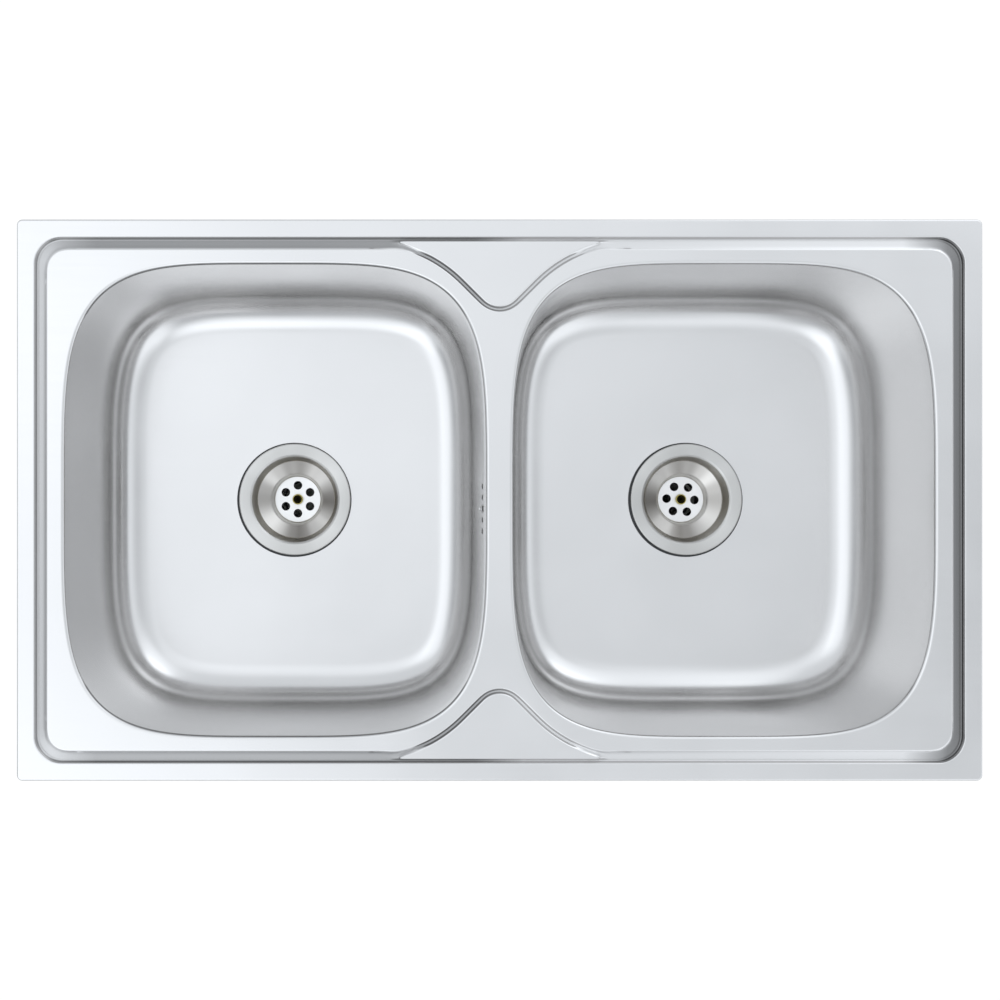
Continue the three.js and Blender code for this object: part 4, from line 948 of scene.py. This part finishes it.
def wasteBody(name, centre, turn, withNipple):
    w = waste
    chamber, outlet = w["chamber"], w["outletRadius"]
    bore = outlet - w["bodyWall"] - 1
    mouth = sheet["wasteHole"] + 0.5
    inHigh, inLow = (w["wall"] + 2.2, -w["wallDepth"] - 1), (chamber + 0.2, coneFoot + 3)
    profile = [
        (mouth, bodyTop), (mouth, bodyTop - 2), inHigh, inLow, (chamber, chamberFoot), (bore, outletTop),
        (bore, outletEnd), (outlet - 0.7, outletEnd), (outlet - 0.7, outletTop - 1),
        (chamber + 3, chamberFoot - 1), (inLow[0] + 3, inLow[1] - 1), (inHigh[0] + 3, inHigh[1] - 2),
        (mouth + 3, bodyTop - 5), (mouth + 3, bodyTop - 3), (w["bodyFlange"], bodyTop - 3),
        (w["bodyFlange"], bodyTop)]
    body = turnedPiece(name, profile, plastic, centre, sides=96, soft=0.8, angle=40)
    if withNipple:
        at = (centre[0], centre[1] + overflow["offset"], centre[2] + nippleZ)
        inner, outer, start, end = w["nippleBore"], w["nipple"], chamber + 0.5, chamber + w["nippleLength"]
        nipple = [(inner, start), (outer, start), (outer, end), (outer - 0.6, end), (inner, end)]
        booleaned(body, turnedPiece("nipple", nipple, plastic, at, "x", 40, 0.3), "UNION")
        booleaned(body, rod(inner, chamber - 6, chamber + 10, at, "x", 40))
    # the star that carries the clamp screw's boss
    boss = ringPiece("boss", w["bossBore"], w["boss"], chamberFoot - 6, coneFoot - 1, plastic, centre,
                     sides=40)
    near, far, half = w["boss"] - 1, chamber + 1, w["armHalf"]
    arms = []
    for k in range(3):
        beam = [(x, y, z) for z in (chamberFoot + 1, chamberFoot + 8)
                for x, y in ((near, -half), (far, -half), (far, half), (near, half))]
        arm = newPiece("arm", beam, [(0, 1, 2, 3), (4, 5, 6, 7), (0, 1, 5, 4), (1, 2, 6, 5), (2, 3, 7, 6),
                                     (3, 0, 4, 7)], plastic)
        angle = turn + math.pi / 6 + k * 2 * math.pi / 3
        arms.append(moved(arm, Matrix.Translation(Vector(centre) * mm) @ Matrix.Rotation(angle, 4, "Z")))
    body = joined(name, body, boss, *arms)
    grownFrom(thread, plastic, body, Turns=6.0, Radius=(outlet - 0.75) * mm, Ridge=0.7 * mm,
              Rise=(w["outlet"] - 5) * mm, Steps=64, Foot=above(centre, outletEnd + 2))
    # the inside of the chamber and of the outlet's bore take the near-black painted shade
    body.data.materials.append(wastePaintedShade)
    for face in body.data.polygons:
        out, height = placeOf(face, centre)
        away = (face.center - Vector(centre) * mm).to_2d()
        inward = face.normal.to_2d().dot(away) <= 0.3 * away.length or out < w["boss"] + 0.4
        # the overflow's nipple, outside the chamber, gets no painted shade
        reach = mouth + 0.2 if height > inLow[1] else chamber + 0.4
        if out < reach and height > outletTop - 4 and inward and face.normal.z > -0.95:
            face.material_index = len(body.data.materials) - 1
    return shaded(body, 40)


# A plastic nut with grip ribs, about Z with its lip at the foot.
def ribbedNut(name, foot, top, bore, lipBore, outer, ribs, lip=2.5):
    body = turnedPiece(name, [
        (lipBore, foot), (outer - 1.3, foot), (outer - 0.9, foot + 1.2), (outer - 0.9, top - 0.8),
        (outer - 1.6, top), (bore, top), (bore, foot + lip), (lipBore, foot + lip)],
        plastic, sides=80, soft=0.4, angle=40)
    grownFrom(pinCircle, plastic, body, Count=ribs, Circle=(outer - 1.15) * mm, Sides=10, Radius=1.1 * mm,
              Length=(top - foot - 3) * mm, Turn=0.0, Centre=(0, 0, (top + foot) / 2 * mm))
    return shaded(body, 40)


for sideName, side, turn in (("left", -1, math.pi / 6), ("right", 1, -0.05)):
    centre = (side * wasteX, 0, floorZ)
    w = waste
    settled(strainerCup(sideName + "Strainer", centre, turn), sideName + "_strainer_cup")
    settled(clampScrew(sideName + "ClampScrew", centre), sideName + "_clamp_screw")
    ringAt = lambda name, *sizes: ringPiece(sideName + name, *sizes, rubber, centre, soft=0.4)
    gasket = ringAt("FlangeGasket", sheet["wasteHole"] + 0.9, w["gasket"], 0.3, 1.3)
    moved(gasket, Matrix.Translation((w["gasketSlip"][0] * mm, w["gasketSlip"][1] * mm, 0)))
    settled(gasket, sideName + "_flange_gasket")
    settled(ringAt("LowerGasket", sheet["wasteHole"] + 0.5, w["lowerGasket"], gasketTop - 3, gasketTop),
            sideName + "_lower_gasket")
    settled(wasteBody(sideName + "WasteBody", centre, turn, side < 0),
            sideName + "_waste_body")
    low, high = boxOf(sideName + "_outlet_washer")
    settled(ringAt("OutletWasher", w["washerBore"], w["outletRadius"], low[2] - floorZ, high[2] - floorZ),
            sideName + "_outlet_washer")
    low, high = boxOf(sideName + "_outlet_nut")
    nut = ribbedNut(sideName + "OutletNut", low[2], high[2], w["outletRadius"] + 0.5, w["pipe"] + 0.5,
                    (high[1] - low[1]) / 2, 28)
    moved(nut, Matrix.Translation((centre[0] * mm, 0, 0)))
    settled(nut, sideName + "_outlet_nut")
    pad = bevelledCopy(sideName + "DampingPad", sideName + "_sound_pad", bitumen, 0.8)
    settled(pad, sideName + "_sound_pad")
print("wastes made")


# Pipework and trap.

pipes = {
    "outer": 20, "bore": 18, "socket": 23.5, "socketLength": 24, "socketWall": 4, "bend": 28, "collar": 3,
    "nutOuter": 28.9,
}
trap = {
    "head": 34, "downPipe": 17, "wall": 2, "cup": 32, "cupBrim": 38, "brimHeight": 15.6, "cupBore": 34.6,
    "cupWall": 2.5, "ribs": 30, "sealBore": 29, "seal": 34,
}
elbowHigh = boxOf("left_elbow")[1]
teeLow, teeHigh = boxOf("right_tee")
crossLow, crossHigh = boxOf("crossover_pipe")
crossZ = middleOf("crossover_pipe")[2]
outletLow, outletHigh = boxOf("outlet_pipe")
outletZ = middleOf("outlet_pipe")[2]


def collarRing(centreX, top):
    return ringPiece("collar", pipes["bore"], waste["outletRadius"], top - pipes["collar"], top, plastic,
                     (centreX, 0, 0), soft=0.5)


def socketAlong(mouth, direction):
    p = pipes
    end = mouth - direction * p["socketLength"]
    inner = end + direction * p["socketWall"]
    outline = [(p["outer"] + 0.4, mouth), (p["socket"], mouth), (p["socket"], end), (p["bore"], end),
               (p["bore"], inner), (p["outer"] + 0.4, inner)]
    return turnedPiece("socket", outline, plastic, (0, 0, crossZ), "x", 72, 0.5)


def leftElbow():
    p = pipes
    x, top = -wasteX, elbowHigh[2]
    bend = arcPath((x, 0, crossZ + p["bend"]), (x, 0, crossZ), (x + p["bend"], 0, crossZ))
    path = [(x, 0, top - 1), *bend, (x + p["bend"] + 1, 0, crossZ)]
    tube = sweptPipe("tube", path, p["outer"], p["bore"], plastic, 72)
    return shaded(joined("leftElbow", tube, collarRing(x, top), socketAlong(elbowHigh[0], 1)), 40)


def rightTee():
    p = pipes
    x, mouth, foot, top = wasteX, teeLow[0], teeLow[2], teeHigh[2]
    body = ringPiece("rightTee", 0, p["outer"], foot, top - 1, plastic, (x, 0, 0), sides=72, soft=0)
    booleaned(body, rod(p["outer"], mouth + p["socketLength"] - 1, x, (0, 0, crossZ), "x", 72), "UNION")
    booleaned(body, rod(p["bore"], foot - 1, top + 1, (x, 0, 0), "z", 72))
    booleaned(body, rod(p["bore"], mouth - 1, x, (0, 0, crossZ), "x", 72))
    return shaded(joined("rightTee", body, collarRing(x, top), socketAlong(mouth, -1)), 40)


def trapBody():
    p = pipes
    low, high = boxOf("trap_body")
    head, foot, mouth, end = trap["head"], low[2], high[2], high[1]
    down, wall = trap["downPipe"], trap["wall"]
    headTop = mouth - p["socketLength"] - 2
    headFoot = outletZ - p["outer"] - 17
    outer = turnedPiece("trapBody", [
        (p["outer"] + 0.4, mouth), (p["outer"] + 0.4, headTop + 3), (down, headTop + 3), (down, foot),
        (down + wall, foot), (down + wall, headTop - 2.5), (head - 2.5, headTop - 2.5),
        (head - 2.5, headFoot), (head, headFoot), (head, headTop), (p["socket"], headTop + 1),
        (p["socket"], mouth)],
        plastic, (wasteX, 0, 0), soft=0.7, angle=40)
    middle = (wasteX, 0, outletZ)
    spout = turnedPiece("spout", [
        (p["socket"] - 2, head - 8), (p["socket"], head - 8), (p["socket"], end), (p["outer"] + 0.4, end),
        (p["outer"] + 0.4, end - 20), (p["bore"], end - 20), (p["bore"], head - 8)],
        plastic, middle, "y", 72, 0.4)
    booleaned(outer, spout, "UNION")
    booleaned(outer, rod(p["bore"], head - 12, head + 4, middle, "y", 72))
    return shaded(outer, 40)


def trapCup():
    low, high = boxOf("trap_cup")
    foot, top, brim = low[2], high[2] - trap["brimHeight"], high[2]
    wide, outer, bore, wall = trap["cup"], trap["cupBrim"], trap["cupBore"], trap["cupWall"]
    cup = turnedPiece("trapCup", [
        (0, foot + wall), (0, foot), (wide - 6, foot), (wide, foot + 6), (wide, top - 6),
        (outer - 1, top - 3), (outer, top), (outer, brim), (bore, brim), (bore, top + 0.2),
        (wide - wall, top), (wide - wall, foot + 7), (wide - 8, foot + wall)],
        plastic, (wasteX, 0, 0), soft=1.2, angle=40)
    ribs = grownFrom(pinCircle, plastic, Count=trap["ribs"], Circle=(outer - 0.1) * mm, Sides=10,
                     Radius=0.9 * mm, Length=13 * mm, Turn=0.0, Centre=(wasteX * mm, 0, (brim - 8) * mm))
    return shaded(joined("trapCup", cup, ribs), 40)


settled(leftElbow(), "left_elbow")
settled(rightTee(), "right_tee")
crossover = ringPiece("crossoverPipe", pipes["bore"], pipes["outer"], crossLow[0], crossHigh[0], plastic,
                      (0, 0, crossZ), "x", 72, 0.5)
settled(crossover, "crossover_pipe")
settled(trapBody(), "trap_body")
settled(trapCup(), "trap_cup")
low, high = boxOf("trap_seal")
trapSeal = ringPiece("trapSeal", trap["sealBore"], trap["seal"], low[2], high[2], rubber, (wasteX, 0, 0),
                     soft=0.8)
settled(trapSeal, "trap_seal")
outletPipe = ringPiece("outletPipe", pipes["bore"], pipes["outer"], outletLow[1], outletHigh[1], plastic,
                       (wasteX, 0, outletZ), "y", 72, 0.5)
settled(outletPipe, "outlet_pipe")

# The four socket nuts: made about Z with the lip at the foot, then laid over their sockets.
for name, node, lay in (
        ("crossoverLeftNut", "crossover_left_nut", Matrix.Rotation(-math.pi / 2, 4, "Y")),
        ("crossoverRightNut", "crossover_right_nut", Matrix.Rotation(math.pi / 2, 4, "Y")),
        ("trapNut", "trap_nut", Matrix.Rotation(math.pi, 4, "X")),
        ("outletPipeNut", "outlet_pipe_nut", Matrix.Rotation(math.pi / 2, 4, "X"))):
    low, high = boxOf(node)
    half = min(high - low) / 2
    nut = ribbedNut(name, -half, half, pipes["socket"] + 0.4, pipes["outer"] + 0.5, pipes["nutOuter"], 26)
    moved(nut, Matrix.Translation(Vector(middleOf(node)) * mm) @ lay)
    settled(nut, node)
print("pipework made")


# Overflow.

def overflowPipe():
    down = Vector((-math.sin(sheet["draft"]), 0, -math.cos(sheet["draft"])))
    o = overflow
    start = overflowPlace @ (Vector((o["spigotX"], 0, -o["boxHalf"] - 2)) * mm) / mm
    end = Vector((-wasteX + waste["chamber"] + 10, o["offset"], floorZ + nippleZ))
    corner = start + down * ((end.z - start.z) / down.z)
    bendEnd = corner + (end - corner).normalized() * o["bend"]
    path = [start, *arcPath(corner - down * o["bend"], corner, bendEnd, 24), end]
    pipe = sweptPipe("overflowPipe", path, o["pipe"], o["pipeBore"], plastic)
    clamps = [ringPiece("clamp", o["pipeBore"], o["clamp"], 0, o["clampLength"], plastic, sides=48, soft=0.5)
              for _ in range(2)]
    lean = down.to_track_quat("-Z", "Y").to_matrix().to_4x4()
    lying = Matrix.Rotation(math.pi / 2, 4, "Y")
    moved(clamps[0], Matrix.Translation((start + down * 9) * mm) @ lean)
    moved(clamps[1], Matrix.Translation((end + Vector((4, 0, 0))) * mm) @ lying)
    return shaded(joined("overflowPipe", pipe, *clamps), 40)


settled(bevelledCopy("overflowBox", "overflow_box", plastic, 0.5), "overflow_box")
settled(bevelledCopy("overflowSeal", "overflow_seal", rubber, 0.3), "overflow_seal")
screw = turnedPiece("overflowScrew", [
    (0, -3.7), (1.9, -3.7), (2.1, -3.0), (2.6, -3.0), (4, -2.1), (4, -1.7), (2, -1.7), (2, 11.6), (0, 11.6)],
    steelSheet, axis="x", sides=48, soft=0.2)
settled(moved(screw, overflowPlace), "overflow_screw")
settled(overflowPipe(), "overflow_pipe")
print("overflow made")


# Worktop clips.

clip = {"screw": 3, "head": 5.8, "headHeight": 4, "washerBore": 3.3, "washer": 7.5}


def clipScrew(name, x, y, low, high):
    c = clip
    headTop = low + c["headHeight"]
    core = turnedPiece(name, [(0, low + 1), (c["screw"] - 0.5, low + 1), (c["screw"] - 0.5, high - 1),
                              (c["screw"] - 1.2, high), (0, high)], zinc, (x, y, 0), sides=32, soft=0.1)
    head = turnedPiece("head", [(0, low), (c["head"] - 0.7, low), (c["head"], low + 0.6),
                                (c["head"], headTop), (0, headTop)],
                       zinc, (x, y, 0), sides=6, soft=0, angle=20)
    slot = rod(4.2, low - 1, low + 1.4, (x, y, 0), sides=4)
    slot.data.transform(Matrix.Translation((x * mm, y * mm, 0)) @ Matrix.Diagonal((0.16, 2.2, 1, 1)).to_4x4()
                        @ Matrix.Rotation(math.pi / 4, 4, "Z") @ Matrix.Translation((-x * mm, -y * mm, 0)))
    booleaned(head, slot)
    turns = high - headTop - 3
    screw = joined(name, core, head)
    grownFrom(thread, zinc, screw, Turns=float(turns), Radius=(c["screw"] - 0.42) * mm, Ridge=0.4 * mm,
              Rise=turns * mm, Steps=16, Foot=(x * mm, y * mm, (headTop + 1) * mm))
    return shaded(screw, 40)


for corner in ("back_left", "back_right", "front_left", "front_right", "side_left", "side_right"):
    node = "clip_" + corner
    name = "clip" + corner.title().replace("_", "")
    low, high = boxOf(node + "_screw")
    x, y, _ = middleOf(node + "_screw")
    settled(bevelledCopy(name + "Bracket", node + "_bracket", zinc, 0.35), node + "_bracket")
    claw, screw, washer = node + "_claw", node + "_screw", node + "_washer"
    settled(bevelledCopy(name + "Claw", claw, zinc, 0.35), claw, body=claw)
    settled(clipScrew(name + "Screw", x, y, low[2], high[2]), screw, body=screw)
    low, high = boxOf(washer)
    settled(ringPiece(name + "Washer", clip["washerBore"], clip["washer"], low[2], high[2], zinc, (x, y, 0),
                      sides=48, soft=0.25), washer, body=washer)
print("clips made")


# Stage, light and camera.

def paleFloor():
    half, z = 12, cadLow[2] - 0.0005
    corners = [(-half, -half, z), (half, -half, z), (half, half, z), (-half, half, z)]
    mesh = bpy.data.meshes.new("floor")
    mesh.from_pydata(corners, [], [(0, 1, 2, 3)])
    floor = bpy.data.objects.new("floor", mesh)
    scene.collection.objects.link(floor)
    material = bpy.data.materials.new("paleFloor")
    look = ShaderTree(material)
    share = look.math("MULTIPLY", look.node("LightPath", output="Is Camera Ray"), 0.9)
    paint = look.node("BsdfDiffuse", {"Color": linear("#d6d6d6")})
    glow = look.node("Emission", {"Color": (1, 1, 1, 1), "Strength": backdrop})
    both = look.node("MixShader", {0: share, 1: paint, 2: glow})
    # seen from underneath it isn't there, so the pipework shows
    under = look.node("NewGeometry", output="Backfacing")
    whole = look.node("MixShader", {0: under, 1: both, 2: look.node("BsdfTransparent")})
    addNode(look.tree, "ShaderNodeOutputMaterial", {0: whole})
    mesh.materials.append(material)


backdrop = 1.06                        # how bright the camera sees the floor and the sky


# The studio's dome: soft boxes, and dark flags with a strength below zero. Each has its
# compass angle from +X, its height, its strength and how far it reaches, all angles in degrees. Within
# the core's angle of its middle it has its full strength.
dome = {
    "base": 0.99, "horizon": -0.5, "skyline": (0.02, 0.2), "colour": "#f4f9ff", "power": 1.05, "core": 4,
    "boxes": {
        "backBank": (120, 75, 0.28, 27),
        "leftBank": (170, 55, 0.5, 30),
        "frontLeftBank": (240, 52, 0.8, 30),
        "backRightBank": (50, 40, 0.5, 32),
        "frontRightBank": (-45, 35, 0.45, 34),
        "backLowStrip": (55, 15, 0.6, 30),
        "rightLowStrip": (0, 5, 0.2, 45),
        "leftFlag": (185, 30, -0.4, 22),
        "frontFlag": (260, 30, -0.3, 30),
        "rightFlag": (-15, 52, -0.2, 20),
    },
}


def studioDome():
    world = bpy.data.worlds.new("studioDome")
    scene.world = world
    sky = ShaderTree(world)
    way = sky.node("TexCoord", output="Generated")
    total = sky.spread(sky.apart(way)[2], *dome["skyline"], dome["base"] + dome["horizon"], dome["base"])
    for compass, height, strength, reach in dome["boxes"].values():
        a, h, edge, core = map(math.radians, (compass, height, reach, dome["core"]))
        direction = (math.cos(h) * math.cos(a), math.cos(h) * math.sin(a), math.sin(h))
        facing = sky.vector("DOT_PRODUCT", way, direction, output="Value")
        box = sky.spread(facing, math.cos(edge), math.cos(core), 0, strength, interpolation_type="SMOOTHSTEP")
        total = sky.math("ADD", total, box)
    total = sky.math("MULTIPLY", total, dome["power"])
    light = sky.node("Background", {"Color": linear(dome["colour"]), "Strength": total})
    plain = sky.node("Background", {"Color": (1, 1, 1, 1), "Strength": backdrop})
    both = sky.node("MixShader", {0: sky.node("LightPath", output="Is Camera Ray"), 1: light, 2: plain})
    addNode(sky.tree, "ShaderNodeOutputWorld", {0: both})


lamp = {"place": Vector((-1.2, -0.5, 2.2)), "aim": Vector((0, 0, -0.1)), "size": 1.2, "power": 6}


def keyLamp():
    light = bpy.data.lights.new("keyLamp", "AREA")
    light.shape = "RECTANGLE"
    light.size = light.size_y = lamp["size"]
    light.energy = lamp["power"]
    key = bpy.data.objects.new("keyLamp", light)
    scene.collection.objects.link(key)
    key.location = lamp["place"]
    key.rotation_euler = (lamp["aim"] - lamp["place"]).to_track_quat("-Z", "Y").to_euler()
    key.visible_glossy = False


paleFloor()
studioDome()
keyLamp()

# The photograph looks straight down from a metre above the deck, a little left of the middle.
shot = {"place": (-0.062, 0.005, 1.0025), "lens": 40.4, "shift": (0.070, -0.0055)}
camera = bpy.data.cameras.new("camera")
camera.sensor_width = 36
camera.lens = shot["lens"]
camera.shift_x, camera.shift_y = shot["shift"]
cameraObject = bpy.data.objects.new("camera", camera)
cameraObject.location = shot["place"]
scene.collection.objects.link(cameraObject)
scene.camera = cameraObject
bpy.data.materials.remove(spareMaterial)
scene.view_settings.view_transform = "Standard"
print("stage, light and camera set")
